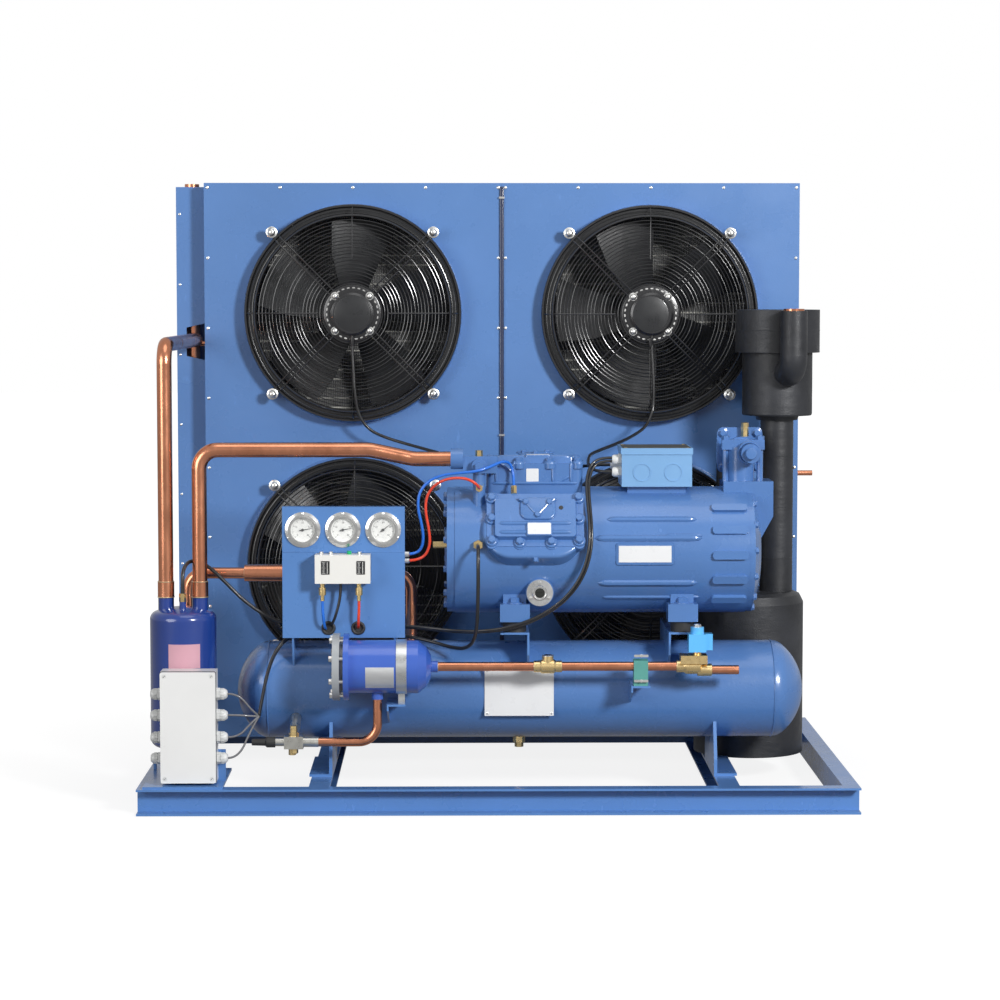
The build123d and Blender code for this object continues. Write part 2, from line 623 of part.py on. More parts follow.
HEAD_BOLTS = [(i * 105, j * 58) for i in (-1, 1) for j in (-1, 1)]
HEAD_BOLTS += [(i * 38, -60) for i in (-1, 1)]
with BuildPart() as cylinder_heads:
    for tilt, deck, height in (
        (BANK_ANGLE, BANK_DECK, HEAD_HEIGHT),
        (0, TOP_DECK, HEAD_HEIGHT + 7),
        (-BANK_ANGLE, BANK_DECK, HEAD_HEIGHT),
    ):
        with BuildSketch(bank_plane(tilt, deck)):
            RectangleRounded(HEAD_RIGHT - HEAD_LEFT, BANK_WIDTH, 16)
        extrude(amount=height - 14)
        with BuildSketch(bank_plane(tilt, deck + height - 14)):
            RectangleRounded(HEAD_RIGHT - HEAD_LEFT - 34, BANK_WIDTH - 34, 12)
        extrude(amount=14, taper=12)
        bars(bank_plane(tilt, deck + height - 14), HEAD_BOLTS, 9, 9, sides=6)
cylinder_heads.part.label = "cylinder_heads"
export_step(cylinder_heads.part, "parts/cylinder_heads.step")

with BuildPart() as motor_stator:
    bar((290, TANK_Y, SHAFT_Z), (1, 0, 0), MOTOR_BORE, 240)
    bar((290, TANK_Y, SHAFT_Z), (1, 0, 0), 72, 240, mode=Mode.SUBTRACT)
motor_stator.part.label = "motor_stator"
export_step(motor_stator.part, "parts/motor_stator.step")

THROW = 22
with BuildPart() as crankshaft:
    end = CRANKCASE_LEFT + 1
    bar((end, TANK_Y, SHAFT_Z), (1, 0, 0), SHAFT_RADIUS, 560 - end)
    bar((300, TANK_Y, SHAFT_Z), (1, 0, 0), 71, 220)
    for pin_x, side in ((-30, 1), (90, -1)):
        for web_x in (pin_x, pin_x + 70):
            with BuildSketch(Plane(origin=(web_x, TANK_Y, SHAFT_Z), z_dir=(1, 0, 0), x_dir=(0, 1, 0))):
                with Locations((0, side * THROW / 2)):
                    SlotOverall(110, 62, rotation=90)
            extrude(amount=18)
        bar((pin_x, TANK_Y, SHAFT_Z + side * THROW), (1, 0, 0), 24, 70)
crankshaft.part.label = "crankshaft"
export_step(crankshaft.part, "parts/crankshaft.step")

BOX_LEFT = 301
BOX_RIGHT = 472
BOX_TOP = BOX_BOTTOM + 94
BOX_FRONT = TANK_Y - 80
with BuildPart() as terminal_box:
    box((BOX_LEFT, BOX_RIGHT), (BOX_FRONT, TANK_Y + 80), (BOX_BOTTOM, BOX_TOP - 14))
    box((BOX_LEFT - 2, BOX_RIGHT + 2), (BOX_FRONT - 2, TANK_Y + 82), (BOX_TOP - 14, BOX_TOP))
    front = Plane(origin=(0, BOX_FRONT, 0), x_dir=(1, 0, 0), z_dir=(0, -1, 0))
    for ring_x in (BOX_LEFT + 49, BOX_RIGHT - 46):
        with BuildSketch(front):
            with Locations((ring_x, BOX_BOTTOM + 35)):
                RegularPolygon(22, 24)
                RegularPolygon(20, 24, mode=Mode.SUBTRACT)
        extrude(amount=1.5)
terminal_box.part.label = "terminal_box"
export_step(terminal_box.part, "parts/terminal_box.step")

VALVE_CENTRE_X = 602
with BuildPart() as suction_valve:
    bar((VALVE_CENTRE_X - 5, TANK_Y, CHAMBER_TOP), (0, 0, 1), 34, 858 - CHAMBER_TOP)
    with BuildSketch(Plane(origin=(VALVE_CENTRE_X - 3, TANK_Y + 36, 848), x_dir=(1, 0, 0), z_dir=(0, 1, 0))):
        RectangleRounded(112, 112, 20)
    extrude(amount=16)
    bar((VALVE_CENTRE_X - 3, TANK_Y, 848), (0, 1, 0), 34, 38)
    box((VALVE_CENTRE_X - 52, VALVE_CENTRE_X + 52), (TANK_Y - 26, TANK_Y + 6), (852, 876))
    bar((VALVE_CENTRE_X + 12, TANK_Y - 96, 846), (0, 1, 0), 13, 8)
    bar((VALVE_CENTRE_X + 12, TANK_Y - 88, 846), (0, 1, 0), 23, 40)
    bar((VALVE_CENTRE_X + 12, TANK_Y - 48, 846), (0, 1, 0), 28, 48)
    for post_x in (VALVE_CENTRE_X - 42, VALVE_CENTRE_X + 42):
        bar((post_x, TANK_Y - 10, CHAMBER_TOP), (0, 0, 1), 8, 852 - CHAMBER_TOP, sides=8)
        bar((post_x, TANK_Y - 10, 876), (0, 0, 1), 11, 9, sides=6)
suction_valve.part.label = "suction_valve"
export_step(suction_valve.part, "parts/suction_valve.step")

DISCHARGE_X = -46
DISCHARGE_Y = -336
with BuildPart() as discharge_valve:
    box((-85, -2), (DISCHARGE_Y - 20, DISCHARGE_Y + 19), (800, 841))
    bar((DISCHARGE_X, DISCHARGE_Y, 715), (0, 0, 1), 15, 90)
    bar((DISCHARGE_X, DISCHARGE_Y, 765), (0, -1, 0), 9, 18, sides=8)
    bar((-85, DISCHARGE_Y, 834), (-1, 0, 0), 25, 30)
    bar((DISCHARGE_X, DISCHARGE_Y - 20, 818), (0, -1, 0), 18, 18)
    bar((DISCHARGE_X, DISCHARGE_Y - 38, 818), (0, -1, 0), 11, 10, sides=6)
    bar((CRANKCASE_LEFT, TANK_Y, SHAFT_Z), (1, 0, 0), BARREL_RADIUS + SEAT, 300, mode=Mode.SUBTRACT)
discharge_valve.part.label = "discharge_valve"
export_step(discharge_valve.part, "parts/discharge_valve.step")

with BuildPart() as oil_sight_glass:
    bar((GLASS_X, GLASS_FRONT, GLASS_Z), (0, -1, 0), 32, 6)
    bar((GLASS_X, GLASS_FRONT - 6, GLASS_Z), (0, -1, 0), 17, 3)
    for turn in (90, 210, 330):
        spot = (GLASS_X + 24 * cos(radians(turn)), GLASS_FRONT - 6, GLASS_Z + 24 * sin(radians(turn)))
        bar(spot, (0, -1, 0), 5, 4, sides=6)
oil_sight_glass.part.label = "oil_sight_glass"
export_step(oil_sight_glass.part, "parts/oil_sight_glass.step")

PLATE_FRONT = TANK_Y - TANK_RADIUS - 2
with BuildPart() as nameplates:
    box((-33, 135), (PLATE_FRONT, PLATE_FRONT + 1), (210, 327))
    for post_x in (-20, 122):
        for post_z in (225, 300):
            bar((post_x, PLATE_FRONT + 1, post_z), (0, 1, 0), 4, 20, sides=8)
    clear_tank()
    pad_front = TANK_Y - BARREL_RADIUS - 3
    box((290, 417), (pad_front - 1, pad_front), (588, 628))
nameplates.part.label = "nameplates"
export_step(nameplates.part, "parts/nameplates.step")

# ---------------------------------------------------------------- oil separator and discharge pipes

STUB_TOP = 502
SOCKET = 38
SEPARATOR_FOOT = BASE_HEIGHT + PLATE_THICKNESS
SEPARATOR_LOW = 159
SEPARATOR_HIGH = 450
with BuildPart() as oil_separator:
    base = (SEPARATOR_X, SEPARATOR_Y, SEPARATOR_LOW)
    tall = SEPARATOR_HIGH - SEPARATOR_LOW
    dished_tank(base, (0, 0, 1), tall, SEPARATOR_RADIUS, 30, 20)
    bar((SEPARATOR_X, SEPARATOR_Y, SEPARATOR_FOOT), (0, 0, 1), 48, 70)
    stubs = [(x, SEPARATOR_Y) for x in (CONDENSER_PIPE_X, DISCHARGE_PIPE_X)]
    bars(Plane.XY.offset(SEPARATOR_HIGH), stubs, PIPE_RADIUS + 1, STUB_TOP - SEPARATOR_HIGH)
    bar((SEPARATOR_X + 2, SEPARATOR_Y - 30, SEPARATOR_HIGH), (0, 0, 1), 8, 44, sides=8)
    bar(base, (0, 0, 1), SEPARATOR_RADIUS - 5, tall, mode=Mode.SUBTRACT)
oil_separator.part.label = "oil_separator"
export_step(oil_separator.part, "parts/oil_separator.step")

CONDENSER_PIPE_Z = 1111
DISCHARGE_PIPE_Z = 858
with BuildPart() as discharge_pipes:
    pipe(
        [
            (CONDENSER_PIPE_X, SEPARATOR_Y, STUB_TOP),
            (CONDENSER_PIPE_X, SEPARATOR_Y, CONDENSER_PIPE_Z),
            (-785, 250, CONDENSER_PIPE_Z),
            (HEADER_X, HEADER_Y, CONDENSER_PIPE_Z),
        ],
        PIPE_RADIUS,
        [45, 60],
    )
    bar((CONDENSER_PIPE_X, SEPARATOR_Y, STUB_TOP), (0, 0, 1), PIPE_RADIUS + 2, SOCKET)
    bar((HEADER_X, HEADER_Y, 1000), (0, 0, 1), HEADER_RADIUS + SEAT, 200, mode=Mode.SUBTRACT)
    pipe(
        [
            (DISCHARGE_PIPE_X, SEPARATOR_Y, STUB_TOP),
            (DISCHARGE_PIPE_X, SEPARATOR_Y, DISCHARGE_PIPE_Z),
            (-310, DISCHARGE_Y - 14, DISCHARGE_PIPE_Z - 1),
            (-205, DISCHARGE_Y, 834),
            (-115, DISCHARGE_Y, 834),
        ],
        PIPE_RADIUS,
        [45, 90, 90],
    )
    bar((DISCHARGE_PIPE_X, SEPARATOR_Y, STUB_TOP), (0, 0, 1), PIPE_RADIUS + 2, SOCKET)
discharge_pipes.part.label = "discharge_pipes"
export_step(discharge_pipes.part, "parts/discharge_pipes.step")

# ---------------------------------------------------------------- liquid line

CONDENSATE_Z = 543
CHECK_LEFT = -530
CHECK_RIGHT = -476

DRIER_LEFT = -371
DRIER_RIGHT = -146
INLET_X = -291
NIPPLE_BOTTOM = LINE_Z - DRIER_RADIUS - 14
COVER_GAP = 9
COVER_PLATE = 17
with BuildPart() as filter_drier:
    turned(
        (DRIER_LEFT, LINE_Y, LINE_Z),
        (1, 0, 0),
        [
            (0, DRIER_FLANGE_RADIUS), (13, DRIER_FLANGE_RADIUS), (13, DRIER_RADIUS),
            (178, DRIER_RADIUS), (198, DRIER_RADIUS - 16), (208, 30), (211, 14), (225, 14),
        ],
    )
    bar((INLET_X, LINE_Y, NIPPLE_BOTTOM), (0, 0, 1), 14, 20)
filter_drier.part.label = "filter_drier"
export_step(filter_drier.part, "parts/filter_drier.step")

with BuildPart() as drier_cover:
    bar((DRIER_LEFT - COVER_GAP, LINE_Y, LINE_Z), (-1, 0, 0), DRIER_FLANGE_RADIUS, COVER_PLATE)
    bar((DRIER_LEFT, LINE_Y, LINE_Z), (-1, 0, 0), DRIER_RADIUS - 4, COVER_GAP)
drier_cover.part.label = "drier_cover"
export_step(drier_cover.part, "parts/drier_cover.step")

with BuildPart() as bolts:
    for fan_x, fan_z in FAN_CENTRES:
        for spacing, face, size, head in (
            (FAN_BOLT_SPACING, GUARD_BACK - 3, 12, 8),
            (HUB_BOLT_SPACING, GUARD_FRONT, 7, 7),
        ):
            plane = Plane(origin=(fan_x, face, fan_z), x_dir=(1, 0, 0), z_dir=(0, -1, 0))
            half = spacing / 2
            bars(plane, [(i * half, j * half) for i in (-1, 1) for j in (-1, 1)], size, head, sides=6)
    turns = [radians(22.5 + 45 * i) for i in range(8)]
    places = [(71 * cos(a), 71 * sin(a)) for a in turns]
    gap_face = Plane(origin=(DRIER_LEFT, LINE_Y, LINE_Z), x_dir=(0, 1, 0), z_dir=(-1, 0, 0))
    bars(gap_face, places, 4, COVER_GAP, sides=6)
    bars(gap_face.offset(COVER_GAP + COVER_PLATE), places, 7, 7, sides=6)
bolts.part.label = "bolts"
export_step(bolts.part, "parts/bolts.step")

STRAP_LEFT = -245
STRAP_WIDTH = 25
STRAP_BOTTOM = 252
CLAMP_LEFT = 324
CLAMP_RIGHT = 358
CLAMP_LOW = 296
GLASS_LEFT = 85
GLASS_RIGHT = 151
SOLENOID_LEFT = 428
SOLENOID_RIGHT = 512
OUTLET_Z = LINE_Z - 9
OUTLET_END = 577
OUTLET_BORE = LINE_RADIUS - 1.5
with BuildPart() as liquid_pipes:
    pipe(
        [
            (HEADER_X, HEADER_Y, 180),
            (-766, CONDENSATE_Y, 180),
            (-766, CONDENSATE_Y, CONDENSATE_Z),
            (CHECK_LEFT, CONDENSATE_Y, CONDENSATE_Z),
        ],
        CONDENSATE_RADIUS,
        [40, 40],
    )
    bar((-626, CONDENSATE_Y, CONDENSATE_Z), (1, 0, 0), 21, CHECK_LEFT + 626)
    pipe(
        [
            (CHECK_RIGHT, CONDENSATE_Y, CONDENSATE_Z),
            (CONDENSATE_X, CONDENSATE_Y, CONDENSATE_Z),
            (CONDENSATE_X, CONDENSATE_Y, TANK_Z + 100),
        ],
        CONDENSATE_RADIUS,
        45,
    )
    bar((HEADER_X, HEADER_Y, 100), (0, 0, 1), CONDENSATE_RADIUS + SEAT, 200, mode=Mode.SUBTRACT)
    clear_tank()
    pipe(
        [
            (VALVE_X + 59, LINE_Y, VALVE_Z),
            (INLET_X, LINE_Y, VALVE_Z),
            (INLET_X, LINE_Y, NIPPLE_BOTTOM),
        ],
        LINE_RADIUS,
        45,
    )
    bar((DRIER_RIGHT, LINE_Y, LINE_Z), (1, 0, 0), LINE_RADIUS, GLASS_LEFT - DRIER_RIGHT)
    bar((GLASS_RIGHT, LINE_Y, LINE_Z), (1, 0, 0), LINE_RADIUS, SOLENOID_LEFT - GLASS_RIGHT)
    bar((SOLENOID_RIGHT, LINE_Y, OUTLET_Z), (1, 0, 0), LINE_RADIUS, OUTLET_END - SOLENOID_RIGHT)
    bar(
        (SOLENOID_RIGHT, LINE_Y, OUTLET_Z),
        (1, 0, 0),
        OUTLET_BORE,
        OUTLET_END - SOLENOID_RIGHT,
        mode=Mode.SUBTRACT,
    )
liquid_pipes.part.label = "liquid_pipes"
export_step(liquid_pipes.part, "parts/liquid_pipes.step")

FLANGE_Z = LINE_Z + 28
with BuildPart() as line_fittings:
    span = GLASS_RIGHT - GLASS_LEFT
    turned(
        (GLASS_LEFT, LINE_Y, LINE_Z),
        (1, 0, 0),
        [(0, 14), (14, 14), (18, 17), (span - 18, 17), (span - 14, 14), (span, 14)],
    )
    bar((GLASS_LEFT + span / 2, LINE_Y, LINE_Z), (0, 0, 1), 14, 26)
    middle = (CHECK_RIGHT - CHECK_LEFT) / 2
    turned(
        (CHECK_LEFT, CONDENSATE_Y, CONDENSATE_Z),
        (1, 0, 0),
        [(0, 17), (10, 17), (16, 24), (2 * middle - 16, 24), (2 * middle - 10, 17), (2 * middle, 17)],
    )
    bar((CHECK_LEFT + middle, CONDENSATE_Y, CONDENSATE_Z), (0, 0, 1), 12, 36, sides=6)
    turned(
        (SOLENOID_LEFT, LINE_Y, LINE_Z),
        (1, 0, 0),
        [(0, 15), (16, 15), (22, 19), (56, 19), (60, 12)],
    )
    bar((SOLENOID_RIGHT, LINE_Y, OUTLET_Z), (-1, 0, 0), 15, 34)
    box((SOLENOID_LEFT + 8, SOLENOID_RIGHT - 12), (LINE_Y - 25, LINE_Y + 25), (LINE_Z + 8, FLANGE_Z))
    bar((477, LINE_Y, FLANGE_Z), (0, 0, 1), 10, 8)
line_fittings.part.label = "line_fittings"
export_step(line_fittings.part, "parts/line_fittings.step")

with BuildPart() as pipe_clamps:
    bar((STRAP_LEFT, LINE_Y, LINE_Z), (1, 0, 0), DRIER_RADIUS + 2, STRAP_WIDTH)
    box((STRAP_LEFT + 4, STRAP_LEFT + 20), (LINE_Y - 2, LINE_Y + 2), (STRAP_BOTTOM, LINE_Z - DRIER_RADIUS))
    inner = DRIER_RADIUS + SEAT
    bar((STRAP_LEFT, LINE_Y, LINE_Z), (1, 0, 0), inner, STRAP_WIDTH, mode=Mode.SUBTRACT)
    box((CLAMP_LEFT, CLAMP_RIGHT), (LINE_Y - 20, LINE_Y + 20), (CLAMP_LOW, LINE_Z + 16))
    hold = LINE_RADIUS + SEAT
    bar((CLAMP_LEFT, LINE_Y, LINE_Z), (1, 0, 0), hold, CLAMP_RIGHT - CLAMP_LEFT, mode=Mode.SUBTRACT)
pipe_clamps.part.label = "pipe_clamps"
export_step(pipe_clamps.part, "parts/pipe_clamps.step")

with BuildPart() as solenoid_coil:
    box((455, 497), (LINE_Y - 22, LINE_Y + 22), (FLANGE_Z + 8, 420))
    bar((477, LINE_Y, 420), (0, 0, 1), 16, 16)
    box((497, 513), (LINE_Y - 14, LINE_Y + 16), (FLANGE_Z + 12, 420))
solenoid_coil.part.label = "solenoid_coil"
export_step(solenoid_coil.part, "parts/solenoid_coil.step")

# ---------------------------------------------------------------- gauge panel

PANEL_MIDDLE = (GAUGE_PANEL_LEFT + GAUGE_PANEL_RIGHT) / 2 - 1
GAUGE_XS = [PANEL_MIDDLE + i * GAUGE_PITCH for i in (-1, 0, 1)]
GROMMETS = ((-411, 426), (-339, 426))
GAUGE_BODY = GAUGE_BEZEL_RADIUS - 3
with BuildPart() as gauge_panel:
    back = GAUGE_PANEL_FRONT + SHEET
    wide = (GAUGE_PANEL_LEFT, GAUGE_PANEL_RIGHT)
    tall = (GAUGE_PANEL_BOTTOM, GAUGE_PANEL_TOP)
    box(wide, (GAUGE_PANEL_FRONT, back), tall)
    box(wide, (back, back + 30), (GAUGE_PANEL_TOP - SHEET, GAUGE_PANEL_TOP))
    for edge in (GAUGE_PANEL_LEFT, GAUGE_PANEL_RIGHT - SHEET):
        box((edge, edge + SHEET), (back, back + 30), tall)
    face = Plane(origin=(0, GAUGE_PANEL_FRONT, 0), x_dir=(1, 0, 0), z_dir=(0, -1, 0))
    gauge_places = [(x, GAUGE_Z) for x in GAUGE_XS]
    bars(face, gauge_places, GAUGE_BODY + SEAT, -SHEET, mode=Mode.SUBTRACT)
    bars(face, GROMMETS, 13, -SHEET, mode=Mode.SUBTRACT)
    for web_x in (GAUGE_PANEL_LEFT + 22, GAUGE_PANEL_RIGHT - 27):
        outline = [
            (back, GAUGE_PANEL_BOTTOM + 2), (back, 560), (back + 28, 560),
            (TANK_Y + 85, TANK_TOP + 20), (TANK_Y + 85, TANK_Z + 40), (TANK_Y - 85, TANK_Z + 40),
        ]
        sheet(Plane(origin=(web_x, 0, 0), x_dir=(0, 1, 0), z_dir=(1, 0, 0)), outline, 5)
        box((web_x, web_x + 5), (-350, -280), (396, 446), mode=Mode.SUBTRACT)
    for left, right, top, front in (
        (STRAP_LEFT - 23, STRAP_LEFT + 21, STRAP_BOTTOM, LINE_Y - 18),
        (CLAMP_LEFT - 6, CLAMP_RIGHT + 6, CLAMP_LOW, LINE_Y - 22),
    ):
        box((left, right), (front, TANK_Y), (top - 5, top))
        outline = [
            (front, top), (front, top - 16), (TANK_Y - 100, top - 60), (TANK_Y, top - 60), (TANK_Y, top),
        ]
        sheet(Plane(origin=(left, 0, 0), x_dir=(0, 1, 0), z_dir=(1, 0, 0)), outline, 4)
    clear_tank()
gauge_panel.part.label = "gauge_panel"
export_step(gauge_panel.part, "parts/gauge_panel.step")

DIAL_DEPTH = 9
BEZEL_DEPTH = 15
DIAL_RADIUS = GAUGE_BEZEL_RADIUS - 4
PIN_RADIUS = 1.5
with BuildPart() as gauge_cases:
    for gauge_x in GAUGE_XS:
        turned(
            (gauge_x, GAUGE_PANEL_FRONT, GAUGE_Z),
            (0, -1, 0),
            [
                (-26, GAUGE_BODY), (0, GAUGE_BODY), (0, GAUGE_FLANGE_RADIUS), (3, GAUGE_FLANGE_RADIUS),
                (5, GAUGE_BEZEL_RADIUS + 3), (5, GAUGE_BEZEL_RADIUS), (BEZEL_DEPTH, GAUGE_BEZEL_RADIUS),
                (BEZEL_DEPTH, DIAL_RADIUS), (DIAL_DEPTH - 3, DIAL_RADIUS),
            ],
        )
        centre = (gauge_x, GAUGE_PANEL_FRONT - DIAL_DEPTH + 3, GAUGE_Z)
        bar(centre, (0, 1, 0), PIN_RADIUS + RUNNING, 12, sides=0, mode=Mode.SUBTRACT)
gauge_cases.part.label = "gauge_cases"
export_step(gauge_cases.part, "parts/gauge_cases.step")

with BuildPart() as gauge_lenses:
    for gauge_x in GAUGE_XS:
        bar((gauge_x, GAUGE_PANEL_FRONT - BEZEL_DEPTH + 2.5, GAUGE_Z), (0, -1, 0), DIAL_RADIUS, 1.5)
gauge_lenses.part.label = "gauge_lenses"
export_step(gauge_lenses.part, "parts/gauge_lenses.step")

NEEDLES = (("low_pressure_needle", 10), ("high_pressure_needle", 12), ("oil_pressure_needle", 38))
for (name, turn), gauge_x in zip(NEEDLES, GAUGE_XS):
    with BuildPart() as needle:
        front = GAUGE_PANEL_FRONT - DIAL_DEPTH
        bar((gauge_x, front, GAUGE_Z), (0, 1, 0), PIN_RADIUS, 13)
        bar((gauge_x, front, GAUGE_Z), (0, -1, 0), 3.5, 1.5, sides=12)
        along = Vector(cos(radians(turn)), 0, sin(radians(turn)))
        pointer = Plane(origin=(gauge_x, front - 0.4, GAUGE_Z), x_dir=along, z_dir=(0, -1, 0))
        sheet(pointer, [(-8, -1.4), (-8, 1.4), (22, 0.4), (22, -0.4)], 0.8)
    needle.part.label = name
    export_step(needle.part, f"parts/{name}.step")

SWITCH_LEFT = -441
SWITCH_RIGHT = -308
SWITCH_LOW = 539
SWITCH_TOP = 608
SWITCH_FRONT = GAUGE_PANEL_FRONT - 50
SWITCH_Y = GAUGE_PANEL_FRONT - 26
SCREWS = (("low_range_screw", -426), ("low_difference_screw", -403), ("high_range_screw", -334))
BUTTON_X = -359
SCREW_SHANK = 2.5
BUTTON_RADIUS = 5.5
BUTTON_TRAVEL = 3
with BuildPart() as pressure_switch:
    box((SWITCH_LEFT, SWITCH_RIGHT), (SWITCH_FRONT, GAUGE_PANEL_FRONT), (SWITCH_LOW, SWITCH_TOP))
    for window_x in (-416, -331):
        box(
            (window_x - 11, window_x + 11),
            (SWITCH_FRONT, SWITCH_FRONT + 1.5),
            (SWITCH_TOP - 48, SWITCH_TOP - 14),
            mode=Mode.SUBTRACT,
        )
    top = Plane.XY.offset(SWITCH_TOP)
    places = [(x, SWITCH_Y) for _, x in SCREWS]
    bars(top, places, SCREW_SHANK + RUNNING, -12, mode=Mode.SUBTRACT)
    button_bore = BUTTON_RADIUS + RUNNING
    bars(top, [(BUTTON_X, SWITCH_Y)], button_bore, -(8 + BUTTON_TRAVEL), mode=Mode.SUBTRACT)
pressure_switch.part.label = "pressure_switch"
export_step(pressure_switch.part, "parts/pressure_switch.step")

for name, screw_x in SCREWS:
    with BuildPart() as screw:
        bar((screw_x, SWITCH_Y, SWITCH_TOP - 10), (0, 0, 1), SCREW_SHANK, 10 + SEAT)
        bar((screw_x, SWITCH_Y, SWITCH_TOP + SEAT), (0, 0, 1), 5, 6, sides=12)
        slot = SWITCH_TOP + SEAT + 6
        width = (SWITCH_Y - 0.8, SWITCH_Y + 0.8)
        box((screw_x - 5, screw_x + 5), width, (slot - 2, slot), mode=Mode.SUBTRACT)
    screw.part.label = name
    export_step(screw.part, f"parts/{name}.step")

with BuildPart() as reset_button:
    bar((BUTTON_X, SWITCH_Y, SWITCH_TOP - 7), (0, 0, 1), BUTTON_RADIUS, 7 + 8)
reset_button.part.label = "reset_button"
export_step(reset_button.part, "parts/reset_button.step")

FITTING_XS = (-424, -336)
with BuildPart() as brass_fittings:
    for fitting_x in FITTING_XS:
        turned(
            (fitting_x, SWITCH_Y, SWITCH_LOW),
            (0, 0, -1),
            [(0, 6), (12, 6), (12, 9), (30, 9), (30, 5), (44, 5)],
        )
    up = Vector(0, sin(radians(90 - BANK_ANGLE)), cos(radians(90 - BANK_ANGLE)))
    out = Vector(0, -sin(radians(BANK_ANGLE)), cos(radians(BANK_ANGLE)))
    head_port = Vector(38, TANK_Y, SHAFT_Z) + out * (BANK_DECK + 12) + up * (BANK_WIDTH / 2)
    bar(tuple(head_port), tuple(up), 8, 20, sides=6)
    bar((DISCHARGE_X, DISCHARGE_Y - 18, 765), (0, -1, 0), 9, 18, sides=6)
    bar((DISCHARGE_X, DISCHARGE_Y, 841), (0, 0, 1), 9, 14, sides=6)
    bar((SEPARATOR_X + 2, SEPARATOR_Y - 30, SEPARATOR_HIGH + 44), (0, 0, 1), 9, 20, sides=6)
    bar((VALVE_X, LINE_Y - 8.5, VALVE_Z + VALVE_HALF), (0, 0, 1), 8, 26, sides=8)
    bar((VALVE_X - 4, LINE_Y, VALVE_Z - VALVE_HALF), (0, 0, -1), 9, 16, sides=6)
    bar((VALVE_CENTRE_X + 8, TANK_Y + 20, 882), (0, 0, 1), 9, 34, sides=6)
    port_out = TANK_Y - BARREL_RADIUS + 2
    bar((-49, port_out, 631), (0, -1, 0), 12, 14, sides=6)
    bar((CRANKCASE_LEFT - COVER_DEPTH, TANK_Y - 90, 625), (-1, 0, 0), 8, 34, sides=6)
    bar((CRANKCASE_LEFT, TANK_Y, SHAFT_Z), (1, 0, 0), BARREL_RADIUS + SEAT, 150, mode=Mode.SUBTRACT)
    bar((DRAIN_X, TANK_Y, TANK_Z - TANK_RADIUS - 14), (0, 0, 1), 15, 20, sides=12)
    bar((DRAIN_X, TANK_Y, TANK_Z - TANK_RADIUS - 26), (0, 0, 1), 11, 12, sides=6)
    clear_tank()
brass_fittings.part.label = "brass_fittings"
export_step(brass_fittings.part, "parts/brass_fittings.step")

# ---------------------------------------------------------------- junction box

LID_DEPTH = 13
GLAND_ZS = (284, 233, 180, 130)
GLAND_Y = -495
with BuildPart() as junction_box:
    wide = (JUNCTION_LEFT, JUNCTION_RIGHT)
    deep = (JUNCTION_FRONT + LID_DEPTH, JUNCTION_BACK)
    tall = (JUNCTION_BOTTOM, JUNCTION_TOP)
    box(wide, deep, tall)
    box(
        (wide[0] + 4, wide[1] - 4),
        (deep[0], deep[1] - 4),
        (tall[0] + 4, tall[1] - 4),
        mode=Mode.SUBTRACT,
    )
junction_box.part.label = "junction_box"
export_step(junction_box.part, "parts/junction_box.step")

with BuildPart() as junction_box_lid:
    lid = Plane(origin=(0, JUNCTION_FRONT, 0), x_dir=(1, 0, 0), z_dir=(0, -1, 0))
    with BuildSketch(lid):
        with Locations(((wide[0] + wide[1]) / 2, (tall[0] + tall[1]) / 2)):
            RectangleRounded(wide[1] - wide[0], tall[1] - tall[0], 5)
    extrude(amount=-LID_DEPTH)
    screws = [(x, z) for x in (wide[0] + 10, wide[1] - 10) for z in (tall[0] + 10, tall[1] - 10)]
    bars(lid, screws, 5, -2, sides=8, mode=Mode.SUBTRACT)
junction_box_lid.part.label = "junction_box_lid"
export_step(junction_box_lid.part, "parts/junction_box_lid.step")

GLAND_LENGTH = 26
with BuildPart() as cable_glands:
    for wall_x, out_x in ((JUNCTION_LEFT, -1), (JUNCTION_RIGHT, 1)):
        side = Plane(origin=(wall_x, 0, 0), x_dir=(0, 1, 0), z_dir=(out_x, 0, 0))
        places = [(GLAND_Y, z * side.y_dir.Z) for z in GLAND_ZS]
        bars(side, places, 13, 14, sides=6)
        bars(side.offset(14), places, 10, GLAND_LENGTH - 14, sides=12)
    side = Plane(origin=(BOX_LEFT, 0, 0), x_dir=(0, -1, 0), z_dir=(-1, 0, 0))
    spots = ((BOX_FRONT + 25, 65), (BOX_FRONT + 25, 35), (TANK_Y + 30, 47))
    places = [(-y, BOX_BOTTOM + rise) for y, rise in spots]
    bars(side, places, 13, 8, sides=6)
    bars(side.offset(8), places, 10, 15, sides=12)
cable_glands.part.label = "cable_glands"
export_step(cable_glands.part, "parts/cable_glands.step")

# ---------------------------------------------------------------- suction side

ACCUMULATOR_TOP = 475
with BuildPart() as suction_accumulator:
    tall = ACCUMULATOR_TOP - BASE_HEIGHT
    turned(
        (ACCUMULATOR_X, SUCTION_Y, BASE_HEIGHT),
        (0, 0, 1),
        [
            (0, ACCUMULATOR_RADIUS), (tall - 27, ACCUMULATOR_RADIUS), (tall - 7, ACCUMULATOR_RADIUS - 10),
            (tall, ACCUMULATOR_RADIUS - 26),
        ],
    )
    inner = ACCUMULATOR_RADIUS - 20
    bar((ACCUMULATOR_X, SUCTION_Y, BASE_HEIGHT + 20), (0, 0, 1), inner, tall - 60, mode=Mode.SUBTRACT)
suction_accumulator.part.label = "suction_accumulator"
export_step(suction_accumulator.part, "parts/suction_accumulator.step")

